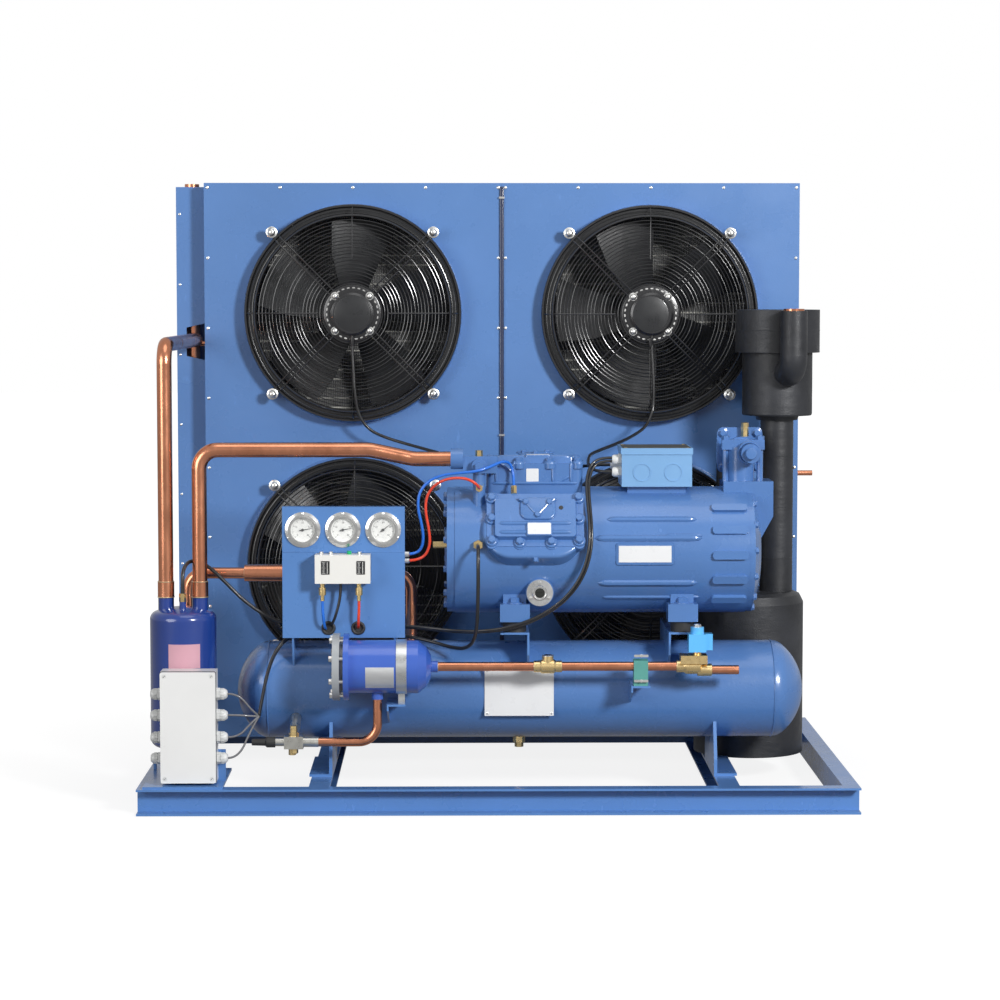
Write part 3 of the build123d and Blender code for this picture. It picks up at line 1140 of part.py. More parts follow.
FLANGE_BACK = TANK_Y + 52
COLLAR_BOTTOM = 1085
INLET_X_SUCTION = 741
INLET_Y = SUCTION_Y - FILTER_COLLAR_RADIUS - INLET_FOAM_RADIUS - 1
INLET_DEPTH = 92
with BuildPart() as suction_filter:
    turned(
        (RISER_X, SUCTION_Y, FILTER_BOTTOM - 12),
        (0, 0, 1),
        [
            (0, 52), (12, 56), (12, FILTER_RADIUS - 2), (16, FILTER_RADIUS),
            (COLLAR_BOTTOM - FILTER_BOTTOM + 12, FILTER_RADIUS),
            (COLLAR_BOTTOM - FILTER_BOTTOM + 12, FILTER_COLLAR_RADIUS),
            (FILTER_TOP - FILTER_BOTTOM + 12, FILTER_COLLAR_RADIUS),
        ],
    )
    low = FILTER_BOTTOM + 20
    bar((RISER_X, SUCTION_Y, low), (0, 0, 1), FILTER_RADIUS - 18, FILTER_TOP - 20 - low, mode=Mode.SUBTRACT)
suction_filter.part.label = "suction_filter"
export_step(suction_filter.part, "parts/suction_filter.step")

INLET_TOP = FILTER_TOP - 2
with BuildPart() as suction_pipes:
    pipe(
        [
            (RISER_X + 10, SUCTION_Y - 50, 1035),
            (INLET_X_SUCTION, INLET_Y, 1035),
            (INLET_X_SUCTION, INLET_Y, INLET_TOP),
        ],
        INLET_FOAM_RADIUS,
        44,
    )
    bar((RISER_X, SUCTION_Y, 900), (0, 0, 1), FILTER_RADIUS + SEAT, 400, mode=Mode.SUBTRACT)
    hole = INLET_RADIUS + SEAT
    bar((INLET_X_SUCTION, INLET_Y, INLET_TOP), (0, 0, -1), hole, INLET_DEPTH, mode=Mode.SUBTRACT)
    bar((RISER_X, SUCTION_Y, ACCUMULATOR_TOP), (0, 0, 1), RISER_RADIUS, FILTER_BOTTOM - 12 - ACCUMULATOR_TOP)
    pipe(
        [
            (VALVE_CENTRE_X - 3, SUCTION_Y + 42, ACCUMULATOR_TOP),
            (VALVE_CENTRE_X - 3, SUCTION_Y + 42, 848),
            (VALVE_CENTRE_X - 3, FLANGE_BACK, 848),
        ],
        33,
        70,
    )
suction_pipes.part.label = "suction_pipes"
export_step(suction_pipes.part, "parts/suction_pipes.step")

with BuildPart() as suction_inlet:
    bar((INLET_X_SUCTION, INLET_Y, INLET_TOP - INLET_DEPTH), (0, 0, 1), INLET_RADIUS, INLET_DEPTH + 5)
    bore = INLET_RADIUS - 1.5
    inlet = (INLET_X_SUCTION, INLET_Y, INLET_TOP - INLET_DEPTH)
    bar(inlet, (0, 0, 1), bore, INLET_DEPTH + 5, mode=Mode.SUBTRACT)
suction_inlet.part.label = "suction_inlet"
export_step(suction_inlet.part, "parts/suction_inlet.step")

# ---------------------------------------------------------------- hoses and cables


CORD_SIDES = 8


def smooth_radii(points):
    """The largest bend at each corner that its two runs allow."""
    runs = [Vector(*b) - Vector(*a) for a, b in zip(points, points[1:])]
    radii = []
    for before, after in zip(runs, runs[1:]):
        turn = radians(before.get_angle(after))
        radii.append(0.45 * min(before.length, after.length) / sin(turn / 2) * cos(turn / 2))
    return radii


def cable(points, radius):
    """A cable or hose along hand-placed points, with its bends as large as they can be."""
    radii = smooth_radii(points)
    print("bends", [round(r) for r in radii])
    pipe(points, radius, radii, CORD_SIDES)


UPPER_CABLE = [
    (278, -300, 826), (251, -300, 826), (231, -306, 811), (221, -324, 782), (220, -354, 750),
    (222, -386, 717), (225, -410, 675), (224, -423, 621), (207, -429, 559), (167, -425, 502),
    (114, -417, 462), (61, -414, 437), (1, -408, 423), (-60, -381, 415), (-121, -343, 414),
    (-190, -319, 419), (-280, -314, 424), (-390, -314, 423), (-470, -316, 416), (-520, -327, 392),
    (-546, -353, 355), (-559, -389, 313), (-566, -427, 271), (-571, -457, 239), (-573, -471, 224),
]
LOWER_CABLE = [
    (278, -300, 834), (249, -300, 834), (225, -308, 817), (215, -328, 786), (214, -358, 754),
    (216, -390, 719), (219, -414, 677), (218, -427, 623), (201, -433, 561), (163, -431, 506),
    (110, -423, 466), (59, -420, 443), (-1, -414, 427), (-64, -387, 419), (-123, -349, 418),
    (-190, -325, 423), (-280, -320, 428), (-390, -320, 427), (-470, -322, 420), (-520, -333, 396),
    (-546, -359, 361), (-559, -395, 319), (-566, -433, 277), (-571, -463, 245), (-573, -477, 230),
]
BUNDLE = (-573, -474, 227)
with BuildPart() as wiring:
    cable(UPPER_CABLE, 3.5)
    cable(LOWER_CABLE, 3.5)
    end_x = JUNCTION_RIGHT + GLAND_LENGTH
    for height in GLAND_ZS:
        near = BUNDLE[2] + 0.28 * (height - BUNDLE[2])
        cable([BUNDLE, (-590, -484, near), (-620, GLAND_Y, height), (end_x, GLAND_Y, height)], 2.5)
    cable(
        [
            (-372, 162, 1123), (-372, 162, 1090), (-369, 160, 1040), (-366, 158, 980), (-358, 162, 920),
            (-330, 170, 878), (-280, 170, 856), (-210, 135, 838), (-130, 70, 820), (-50, -20, 808),
            (40, -85, 800), (130, -125, 800), (200, -172, 804), (244, -215, 812), (278, -215, 812),
        ],
        4,
    )
    cable(
        [
            (406, 162, 1123), (406, 162, 1090), (409, 160, 1040), (412, 158, 985), (410, 160, 930),
            (390, 130, 888), (350, 74, 866), (306, -4, 852), (262, -90, 842), (234, -160, 836),
            (224, -215, 828), (222, -252, 814), (232, -282, 804), (254, -300, 800), (278, -300, 800),
        ],
        4,
    )
wiring.part.label = "wiring"
export_step(wiring.part, "parts/wiring.step")

HEAD_PORT_TOP = head_port + up * 20
PORT_RUN = head_port + up * 52
PANEL_EDGE = GAUGE_PANEL_RIGHT
with BuildPart() as blue_hoses:
    cable(
        [
            (PANEL_EDGE, -352, 604), (PANEL_EDGE + 22, -352, 604), (-186, -360, 616), (-180, -371, 644),
            (-185, -379, 680), (-194, -382, 718), (-192, -383, 752), (-174, -384, 780), (-138, -387, 798),
            (-92, -394, 804), (-48, -397, 808), (-14, -380, 820), (10, -356, 830), (30, -333, 824),
            tuple(PORT_RUN), tuple(HEAD_PORT_TOP),
        ],
        3.5,
    )
    cable(
        [
            (-424, SWITCH_Y, SWITCH_LOW - 44), (-424, SWITCH_Y, 476), (-422, SWITCH_Y, 454),
            (-420, -388, 434), (-418, -372, 424), (-417, -356, 421),
        ],
        3.5,
    )
blue_hoses.part.label = "blue_hoses"
export_step(blue_hoses.part, "parts/blue_hoses.step")

RED_END = DISCHARGE_Y - 36
with BuildPart() as red_hoses:
    cable(
        [
            (PANEL_EDGE, -352, 588), (PANEL_EDGE + 24, -352, 588), (-176, -358, 600), (-164, -367, 630),
            (-168, -371, 670), (-176, -372, 708), (-174, -373, 744), (-158, -380, 770), (-132, -393, 787),
            (-102, -406, 793), (-74, -416, 791), (-53, -416, 779), (DISCHARGE_X, RED_END - 28, 767),
            (DISCHARGE_X, RED_END, 765),
        ],
        3.5,
    )
    cable(
        [
            (-336, SWITCH_Y, SWITCH_LOW - 44), (-336, SWITCH_Y, 476), (-337, SWITCH_Y, 454),
            (-338, -388, 436), (-339, -372, 427), (-339, -356, 424),
        ],
        3.5,
    )
red_hoses.part.label = "red_hoses"
export_step(red_hoses.part, "parts/red_hoses.step")

SEPARATOR_PORT = (SEPARATOR_X + 2, SEPARATOR_Y - 30)
with BuildPart() as black_hoses:
    cable(
        [
            (-49, -412, 631), (-49, -440, 631), (-49, -462, 618), (-49, -470, 590), (-49, -468, 540),
            (-50, -460, 486), (-52, -444, 436), (-60, -420, 396), (-82, -386, 376), (-116, -350, 376),
            (-160, -320, 386), (-224, -301, 398), (-310, -291, 406), (-400, -288, 410),
            (-490, -291, 418), (-560, -296, 442),
            (-618, -300, 482), (-664, -306, 530), (-700, -318, 568), (-732, -344, 590), (-752, -374, 586),
            (-760, -396, 566), (*SEPARATOR_PORT, 540), (*SEPARATOR_PORT, SEPARATOR_HIGH + 64),
        ],
        4.5,
    )
    cable(
        [
            (-380, SWITCH_Y, SWITCH_LOW), (-380, SWITCH_Y, 516), (-384, SWITCH_Y, 490), (-391, SWITCH_Y, 464),
            (-398, -388, 444), (-404, -373, 433), (-405, -356, 430),
        ],
        3.5,
    )
black_hoses.part.label = "black_hoses"
export_step(black_hoses.part, "parts/black_hoses.step")
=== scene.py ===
"""Air-cooled refrigeration condensing unit: materials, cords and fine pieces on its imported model.

Metres, in the model's own frame: +X to the right, +Y to the rear, +Z up.
"""
from math import cos, pi, radians, sin

import bpy
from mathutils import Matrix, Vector
import numpy as np


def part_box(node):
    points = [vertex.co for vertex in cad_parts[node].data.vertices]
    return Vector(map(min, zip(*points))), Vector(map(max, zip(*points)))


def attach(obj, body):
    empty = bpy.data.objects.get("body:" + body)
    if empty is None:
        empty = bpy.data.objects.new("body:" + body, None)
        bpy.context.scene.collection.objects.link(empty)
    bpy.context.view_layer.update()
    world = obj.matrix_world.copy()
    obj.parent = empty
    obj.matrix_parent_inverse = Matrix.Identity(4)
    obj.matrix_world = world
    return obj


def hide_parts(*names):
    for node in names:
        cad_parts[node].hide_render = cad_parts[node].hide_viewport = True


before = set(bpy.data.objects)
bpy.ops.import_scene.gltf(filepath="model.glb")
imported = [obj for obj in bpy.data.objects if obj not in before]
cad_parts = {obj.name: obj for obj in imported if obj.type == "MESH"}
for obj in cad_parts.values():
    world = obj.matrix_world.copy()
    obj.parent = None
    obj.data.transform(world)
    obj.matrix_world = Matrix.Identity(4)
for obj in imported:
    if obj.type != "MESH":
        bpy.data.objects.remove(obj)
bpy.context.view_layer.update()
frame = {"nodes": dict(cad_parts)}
NODES = frame["nodes"]

bl_info = {
    "name": "Condensing unit",
    "version": (1, 0, 0),
    "blender": (4, 5, 0),
    "location": "View3D > Sidebar > Unit",
    "description": "Dresses an air-cooled condensing unit",
    "category": "Object",
}

TAU = 2 * pi
RIGHT, LEFT = (1, 0, 0), (-1, 0, 0)
FRONT, REAR = (0, -1, 0), (0, 1, 0)
UP, DOWN = (0, 0, 1), (0, 0, -1)
CORNERS = ((45, 1, 1), (135, -1, 1), (225, -1, -1), (315, 1, -1))  # turn in degrees, side, height
THIRDS = np.radians((90, 210, 330))
SINK = 0.001  # how deep a fine piece goes into what carries it

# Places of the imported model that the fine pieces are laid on.
IMPELLERS = [f"fan_impeller_{row}_{side}" for row in ("upper", "lower") for side in ("left", "right")]
PANEL_FACE = 0.235  # front of the fan panels
COLLAR_FACE = 0.1965  # front lip of their pressed collars
COLLAR_RADIUS = 0.2795
SHAFT_Y, SHAFT_Z = -0.245, 0.605  # axis of the compressor
BARREL = 0.155  # radius of its barrel
GAUGES = (-0.472, -0.375, -0.278)  # X of the three dials
DIAL_Z = 0.665
LINE_Y, LINE_Z = -0.440, 0.341  # axis of the liquid line and its drier


def place(node):
    """Lowest and highest corner of a node, and its middle, as arrays."""
    low, high = (np.array(corner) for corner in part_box(node))
    return low, high, (low + high) / 2


# ------------------------------------------------------------------ sizes and colours


def colour(name, value, text):
    """A colour setting."""
    return bpy.props.FloatVectorProperty(
        name=name, description=text, subtype="COLOR", size=3, min=0, max=1, default=value
    )


def length(name, value, text):
    """A length setting in metres."""
    return bpy.props.FloatProperty(name=name, description=text, unit="LENGTH", min=0, default=value)


class UnitColours(bpy.types.PropertyGroup):
    """The unit's paints and plastics."""

    panel: colour("Panel enamel", (0.105, 0.235, 0.53), "Enamel of the cabinet's sheets")
    frame: colour("Frame enamel", (0.095, 0.235, 0.55), "Enamel of the base and brackets")
    casting: colour("Casting enamel", (0.080, 0.195, 0.47), "Enamel of the compressor and receiver")
    vessel: colour("Vessel enamel", (0.012, 0.047, 0.27), "Enamel of the oil separator")
    drier: colour("Drier enamel", (0.045, 0.125, 0.53), "Enamel of the filter drier")
    terminal: colour("Terminal box", (0.20, 0.40, 0.68), "Moulded terminal box")
    solenoid: colour("Solenoid coil", (0.12, 0.50, 0.93), "Moulded solenoid coil")
    copper: colour("Copper", (0.78, 0.33, 0.19), "Drawn copper tube")
    brass: colour("Brass", (0.93, 0.68, 0.33), "Machined brass")
    teal: colour("Clamp", (0.10, 0.34, 0.30), "Rubber-lined pipe clamp")
    white: colour("White plastic", (0.87, 0.87, 0.86), "Junction box")
    switch: colour("Switch cover", (0.86, 0.85, 0.81), "Pressure switch cover")
    sticker: colour("Sticker", (0.66, 0.36, 0.43), "Bare pink sticker")
    blue_hose: colour("Blue hose", (0.02, 0.17, 0.72), "Low-pressure hose")
    red_hose: colour("Red hose", (0.80, 0.06, 0.02), "High-pressure hose")
    foam: colour("Foam", (0.016, 0.017, 0.02), "Closed-cell insulation")


class UnitSizes(bpy.types.PropertyGroup):
    """Sizes of the fine pieces, and of the stage."""

    guard_wire: length("Guard wire", 0.0026, "Thickness of the guard's ring wires")
    arm_wire: length("Arm wire", 0.0044, "Thickness of the guard's arm wires")
    guard_pitch: length("Guard pitch", 0.0088, "Distance between neighbouring rings")
    rivet: length("Rivet", 0.0045, "Radius of a panel rivet's head")
    rivet_pitch: length("Rivet pitch", 0.183, "Height between panel rivets")
    key_size: length("Key lamp", 1.1, "Width of the main lamp")
    camera_distance: length("Camera distance", 7.112, "How far the camera stands from the unit's middle")


# ------------------------------------------------------------------ materials


class Finish:
    """Builds one procedural material on Object coordinates."""

    def __init__(self, name):
        self.material = bpy.data.materials.new(name)
        self.material.use_nodes = True
        self.tree = self.material.node_tree
        self.shader = self.tree.nodes["Principled BSDF"]
        self.coords = self.node("ShaderNodeTexCoord").outputs["Object"]

    def node(self, kind, values=None, **settings):
        """Adds a node; values are sockets to link or plain defaults."""
        made = self.tree.nodes.new(kind)
        for key, value in settings.items():
            setattr(made, key, value)
        for key, value in (values or {}).items():
            self.feed(made.inputs[key], value)
        return made

    def feed(self, socket, value):
        """Links an output to a socket, or writes a plain value on it."""
        if isinstance(value, bpy.types.NodeSocket):
            self.tree.links.new(value, socket)
        else:
            socket.default_value = value

    def set(self, **values):
        """Feeds the shader's sockets, underscores standing for spaces."""
        for key, value in values.items():
            self.feed(self.shader.inputs[key.replace("_", " ")], value)
        return self

    def noise(self, scale, detail=3.0, stretch=None, rough=0.55):
        """Noise from 0 to 1; stretch scales the axes against each other."""
        place_on = self.coords
        if stretch:
            place_on = self.node("ShaderNodeMapping", {0: self.coords, 3: stretch}).outputs[0]
        values = {"Vector": place_on, "Scale": scale, "Detail": detail, "Roughness": rough}
        return self.node("ShaderNodeTexNoise", values).outputs[0]

    def ramp(self, value, low, high, start=0.0, end=1.0):
        """Carries value from low..high onto start..end, clamped."""
        values = {0: value, 1: low, 2: high, 3: start, 4: end}
        return self.node("ShaderNodeMapRange", values).outputs[0]

    def math(self, operation, a, b=0.0):
        """One arithmetic step."""
        return self.node("ShaderNodeMath", {0: a, 1: b}, operation=operation).outputs[0]

    def times(self, a, b):
        """Product of two sockets or values."""
        return self.math("MULTIPLY", a, b)

    def plus(self, a, b):
        """Sum of two sockets or values."""
        return self.math("ADD", a, b)

    def blend(self, share, a, b):
        """Colour a where share is 0 and b where it is 1."""
        values = {0: share, 6: rgba(a), 7: rgba(b)}
        return self.node("ShaderNodeMix", values, data_type="RGBA").outputs[2]

    def axis(self, letter):
        """The X, Y or Z of a point on the piece."""
        return self.node("ShaderNodeSeparateXYZ", {0: self.coords}).outputs["XYZ".index(letter)]

    def off_centre(self, letter, pitch):
        """Distance from the middle of a repeat of that pitch along an axis, 0 to 0.5."""
        share = self.math("FRACT", self.math("DIVIDE", self.axis(letter), pitch))
        return self.math("ABSOLUTE", self.math("SUBTRACT", share, 0.5))

    def reach(self, **centre):
        """Distance from a line that crosses two axes at the values given."""
        squares = [
            self.math("POWER", self.math("SUBTRACT", self.axis(letter), value), 2.0)
            for letter, value in centre.items()
        ]
        return self.math("SQRT", self.plus(*squares))

    def bump(self, height, distance, strength=1.0):
        """A bump from a height field."""
        values = {"Height": height, "Distance": distance, "Strength": strength}
        return self.node("ShaderNodeBump", values).outputs[0]

    def facing_up(self):
        """1 on upward faces, 0 on the rest."""
        normal = self.node("ShaderNodeNewGeometry").outputs["Normal"]
        return self.ramp(self.node("ShaderNodeSeparateXYZ", {0: normal}).outputs[2], 0.6, 0.98)


def rgba(value):
    """A colour tuple with alpha, or the socket as it is."""
    return value if isinstance(value, bpy.types.NodeSocket) else (*value, 1.0)


def shade(value, factor):
    """A lighter or darker copy of a colour."""
    return tuple(min(1.0, c * factor) for c in value)


def enamel(name, paint, rough=0.30, coat=0.35, dust=0.10, peel=0.00035):
    """Sprayed enamel: cloudy tone, orange peel, scuffs and a little dust on upward faces."""
    f = Finish(name)
    tone = f.blend(f.noise(3.1, 4.0), shade(paint, 0.86), shade(paint, 1.12))
    scuff = f.ramp(f.noise(55.0, 5.0, (1.0, 1.0, 0.35)), 0.66, 0.80)
    tone = f.blend(f.times(scuff, 0.22), tone, shade(paint, 1.9))
    settled = f.times(f.facing_up(), f.ramp(f.noise(14.0, 5.0), 0.35, 0.75, 0.15, 1.0))
    tone = f.blend(f.times(settled, dust), tone, (0.42, 0.45, 0.5))
    roughness = f.ramp(f.noise(9.0, 4.0), 0.3, 0.75, rough - 0.05, rough + 0.09)
    roughness = f.plus(roughness, f.times(scuff, 0.18))
    f.set(Base_Color=tone, Roughness=roughness, Coat_Weight=coat, Coat_Roughness=0.16)
    return f.set(Normal=f.bump(f.noise(420.0, 2.0), peel, 0.55))


def cast_enamel(name, paint):
    """Enamel over sand-cast iron: the same paint on a coarser, softly pitted skin."""
    f = enamel(name, paint, 0.27, 0.55)
    skin = f.plus(f.times(f.noise(210.0, 4.0), 0.7), f.noise(34.0, 3.0))
    return f.set(Normal=f.bump(skin, 0.0011, 0.42))


def panel_enamel(name, paint):
    """Panel enamel that turns satin black inside the four pressed collars."""
    f = enamel(name, paint, 0.27, 0.5)
    nearest = None
    for node in IMPELLERS:
        x, _, z = place(node)[2]
        reach = f.reach(X=float(x), Z=float(z))
        nearest = f.math("MINIMUM", nearest, reach) if nearest else reach
    inner = f.math("LESS_THAN", nearest, COLLAR_RADIUS)
    tone = f.shader.inputs["Base Color"].links[0].from_socket
    return f.set(Base_Color=f.blend(inner, tone, (0.014, 0.015, 0.017)))


def bare_metal(name, paint, rough, stain, tarnish=0.35, streak=(1.0, 1.0, 1.0)):
    """Bare metal: drawn streaks, patches of tarnish and uneven polish."""
    f = Finish(name)
    patch = f.ramp(f.noise(11.0, 5.0, streak), 0.42, 0.78)
    tone = f.blend(f.noise(90.0, 3.0, streak), shade(paint, 0.82), shade(paint, 1.14))
    tone = f.blend(f.times(patch, tarnish), tone, stain)
    roughness = f.ramp(f.noise(26.0, 5.0, streak), 0.3, 0.8, rough - 0.06, rough + 0.16)
    f.set(Base_Color=tone, Metallic=1.0, Roughness=roughness)
    return f.set(Normal=f.bump(f.noise(600.0, 2.0, streak), 0.0002, 0.5))


def moulded(name, paint, rough=0.4, coat=0.0, grain=0.00012):
    """Moulded plastic: even tone, slight clouding, fine grain and handling marks."""
    f = Finish(name)
    tone = f.blend(f.noise(7.0, 3.0), shade(paint, 0.93), shade(paint, 1.05))
    marks = f.ramp(f.noise(70.0, 6.0), 0.68, 0.8)
    tone = f.blend(f.times(marks, 0.18), tone, shade(paint, 0.62))
    roughness = f.ramp(f.noise(30.0, 4.0), 0.3, 0.7, rough - 0.06, rough + 0.08)
    f.set(Base_Color=tone, Roughness=roughness, Coat_Weight=coat)
    return f.set(Normal=f.bump(f.noise(900.0, 2.0), grain, 0.5))


def foam_skin(name, paint):
    """Closed-cell foam: matt, with shallow creases, faintly mottled by lighter blue-grey patches that are a
    painted sheen.
    """
    f = Finish(name)
    sheen_patches = f.ramp(f.noise(6.0, 5.0), 0.35, 0.75)
    pores = f.times(f.noise(300.0, 3.0), 0.22)
    crease = f.plus(f.noise(9.0, 3.0, (1.0, 1.0, 2.6)), pores)
    rough = f.ramp(f.noise(40.0, 3.0), 0.3, 0.7, 0.36, 0.52)
    # Lighter blue-grey patches laid by noise: painted sheen.
    f.set(Base_Color=f.blend(sheen_patches, paint, shade(paint, 2.3)), Roughness=rough)
    return f.set(Normal=f.bump(crease, 0.004, 0.5))


def coil_fins(name, paint, fin_pitch=0.0048, row_pitch=0.0254):
    """Finned coil: upright fins with painted shade in the gaps between them, and rows of tubes drawn as
    broken near-white lines of painted highlight.
    """
    f = Finish(name)
    row = f.ramp(f.off_centre("Z", row_pitch), 0.055, 0.10, 1.0, 0.0)
    gap = f.ramp(f.off_centre("X", fin_pitch), 0.16, 0.34)
    # Noise that breaks the painted highlight lines into dashes.
    highlight_breaks = f.ramp(f.noise(5.0, 4.0, (1.0, 1.0, 3.0)), 0.38, 0.66, 0.25, 1.0)
    # Gaps between fins painted nearly black: painted shade.
    tone = f.blend(gap, paint, (0.06, 0.06, 0.06))
    # Tube rows painted near-white: painted highlight lines.
    tone = f.blend(f.times(row, highlight_breaks), tone, (0.97, 0.95, 0.86))
    f.set(Base_Color=tone, Metallic=0.15, Roughness=f.ramp(f.noise(60.0), 0.3, 0.7, 0.38, 0.55))
    relief = f.plus(f.times(gap, -1.0), f.times(row, 0.8))
    return f.set(Normal=f.bump(relief, 0.002, 0.6))


def cover_glass(name, paint):
    """Thin clear cover glass: almost open, with faint smears that catch the light."""
    f = Finish(name)
    smear = f.ramp(f.noise(50.0, 4.0), 0.45, 0.8, 0.05, 0.12)
    rough = f.ramp(f.noise(30.0, 4.0), 0.4, 0.8, 0.04, 0.12)
    return f.set(Base_Color=rgba(paint), Roughness=rough, Alpha=smear)


def two_tone(name, first, second, letter, split, metal, rough):
    """Two finishes on one node, parted where an axis passes a value."""
    f = Finish(name)
    side = f.math("GREATER_THAN", f.axis(letter), split)
    cloud = f.noise(24.0, 4.0)
    one, two = (f.blend(cloud, shade(paint, 0.84), shade(paint, 1.1)) for paint in (first, second))
    f.set(Base_Color=f.blend(side, one, two), Metallic=f.ramp(side, 0.0, 1.0, *metal))
    uneven = f.ramp(f.noise(70.0, 4.0), 0.3, 0.7, -0.05, 0.09)
    f.set(Roughness=f.plus(f.ramp(side, 0.0, 1.0, *rough), uneven))
    return f.set(Normal=f.bump(f.noise(500.0, 2.0), 0.0002, 0.5))


def recipes():
    """Maker of each finish and what it is given after the name, in the maker's own order."""
    c = bpy.context.scene.unit_colours
    return {
        "frame_paint": (enamel, c.frame, 0.28, 0.5),
        "panel_paint": (panel_enamel, c.panel),
        "sheet_paint": (enamel, c.panel, 0.27, 0.5),
        "casting_paint": (cast_enamel, c.casting),
        "vessel_paint": (enamel, c.vessel, 0.13, 0.9, 0.03, 0.0002),
        "drier_paint": (enamel, c.drier, 0.20, 0.7, 0.05, 0.0002),
        "black_steel": (enamel, (0.012, 0.012, 0.014), 0.26, 0.6, 0.05),
        "grey_paint": (enamel, (0.36, 0.38, 0.40), 0.30, 0.35, 0.05),
        "navy_strip": (enamel, (0.016, 0.026, 0.075), 0.24, 0.7, 0.03),
        "copper": (bare_metal, c.copper, 0.19, (0.42, 0.13, 0.06), 0.4, (1.0, 1.0, 0.4)),
        "brass": (bare_metal, c.brass, 0.24, (0.42, 0.26, 0.08), 0.2),
        "braze": (bare_metal, (0.80, 0.66, 0.42), 0.34, (0.42, 0.24, 0.12), 0.5),
        "steel": (bare_metal, (0.80, 0.80, 0.78), 0.28, (0.36, 0.35, 0.33), 0.2),
        "gauge_steel": (bare_metal, (0.86, 0.86, 0.85), 0.16, (0.4, 0.4, 0.4), 0.15),
        "sight_set": (bare_metal, (0.80, 0.80, 0.80), 0.26, (0.3, 0.3, 0.3)),
        "iron": (bare_metal, (0.34, 0.34, 0.35), 0.42, (0.12, 0.09, 0.07)),
        "plate_metal": (bare_metal, (0.86, 0.87, 0.88), 0.36, (0.5, 0.5, 0.52), 0.2, (0.2, 1.0, 1.0)),
        "coil_aluminium": (coil_fins, (0.24, 0.24, 0.235)),
        "glass": (cover_glass, (0.93, 0.96, 0.97)),
        "foam": (foam_skin, c.foam),
        "black_fan": (moulded, (0.016, 0.017, 0.019), 0.38, 0.0, 0.0004),
        "rubber": (moulded, (0.022, 0.022, 0.023), 0.55, 0.0, 0.0006),
        "light_blue_plastic": (moulded, c.terminal, 0.34, 0.25, 0.0002),
        "cyan_plastic": (moulded, c.solenoid, 0.22, 0.5),
        "white_plastic": (moulded, c.white, 0.34, 0.15, 0.0002),
        "gland_plastic": (moulded, (0.74, 0.75, 0.74), 0.38),
        "switch_plastic": (moulded, c.switch, 0.34, 0.15, 0.0002),
        "green_plastic": (moulded, (0.01, 0.42, 0.16), 0.3, 0.4),
        "needle_paint": (moulded, (0.012, 0.012, 0.012), 0.45),
        "ink": (moulded, (0.02, 0.02, 0.022), 0.5),
        "dial_face": (moulded, (0.88, 0.88, 0.85), 0.5, 0.0, 0.00005),
        "dark_glass": (moulded, (0.010, 0.012, 0.010), 0.08, 0.8, 0.00004),
        "sticker": (moulded, c.sticker, 0.42, 0.0, 0.0001),
        "pale_plate": (moulded, (0.80, 0.81, 0.82), 0.3, 0.3, 0.0001),
        # Also the painted shade of the heads' small recesses.
        "dull_plate": (moulded, (0.018, 0.019, 0.021), 0.3, 0.3, 0.0001),
        "lid_grey": (moulded, (0.085, 0.088, 0.085), 0.5, 0.0, 0.0004),
        "black_hose": (moulded, (0.016, 0.016, 0.017), 0.32, 0.3, 0.0003),
        "grey_hose": (moulded, (0.17, 0.17, 0.18), 0.34, 0.3, 0.0003),
        "red_hose": (moulded, c.red_hose, 0.26, 0.4, 0.0002),
        "blue_hose": (moulded, c.blue_hose, 0.26, 0.4, 0.0002),
        "clamp_set": (two_tone, (0.72, 0.74, 0.74), c.teal, "X", 0.0, (1.0, 0.0), (0.3, 0.45)),
        "line_set": (two_tone, c.brass, (0.74, 0.53, 0.26), "Z", 0.45, (1.0, 1.0), (0.26, 0.3)),
        "valve_set": (two_tone, (0.03, 0.03, 0.03), (0.66, 0.65, 0.60), "X", -0.536, (0.0, 1.0), (0.45, 0.3)),
    }


MATERIALS = {}


def material(name):
    """The finished material of that name, made on first use."""
    if name not in MATERIALS:
        make, *values = recipes()[name]
        MATERIALS[name] = make(name, *values).material
    return MATERIALS[name]


# ------------------------------------------------------------------ surfaces


def square_frame(direction):
    """Three unit rows: two across the direction, and the direction itself."""
    along = np.array(direction, float)
    along /= np.linalg.norm(along)
    helper = np.array((0.0, 0.0, 1.0)) if abs(along[2]) < 0.9 else np.array((1.0, 0.0, 0.0))
    side = np.cross(helper, along)
    side /= np.linalg.norm(side)
    return np.array((side, np.cross(along, side), along))


def grid_faces(rows, columns):
    """Quads of a grid stored row by row, its columns joined into a ring."""
    row, column = np.meshgrid(np.arange(rows - 1), np.arange(columns), indexing="ij")
    a = row * columns + column
    b = row * columns + (column + 1) % columns
    return np.stack((a, b, b + columns, a + columns), axis=-1).reshape(-1, 4)


def outward(points, faces):
    """The same closed surface with its faces turned outward, by the sign of its volume."""
    a, b, c, d = (points[faces[:, i]] for i in range(4))
    volume = np.einsum("ij,ij->i", a, np.cross(b, c)) + np.einsum("ij,ij->i", a, np.cross(c, d))
    return points, faces if volume.sum() > 0 else faces[:, ::-1]


def capped(rings, tips):
    """Closed surface through rings of points, a fan to a tip closing each end."""
    rows, columns, _ = rings.shape
    around = np.arange(columns)
    after = (around + 1) % columns
    tip = np.full(columns, rows * columns)
    back = (rows - 1) * columns
    first = np.stack((after, around, tip, tip), axis=-1)
    last = np.stack((around + back, after + back, tip + 1, tip + 1), axis=-1)
    points = np.vstack((rings.reshape(-1, 3), tips))
    return outward(points, np.vstack((grid_faces(rows, columns), first, last)))


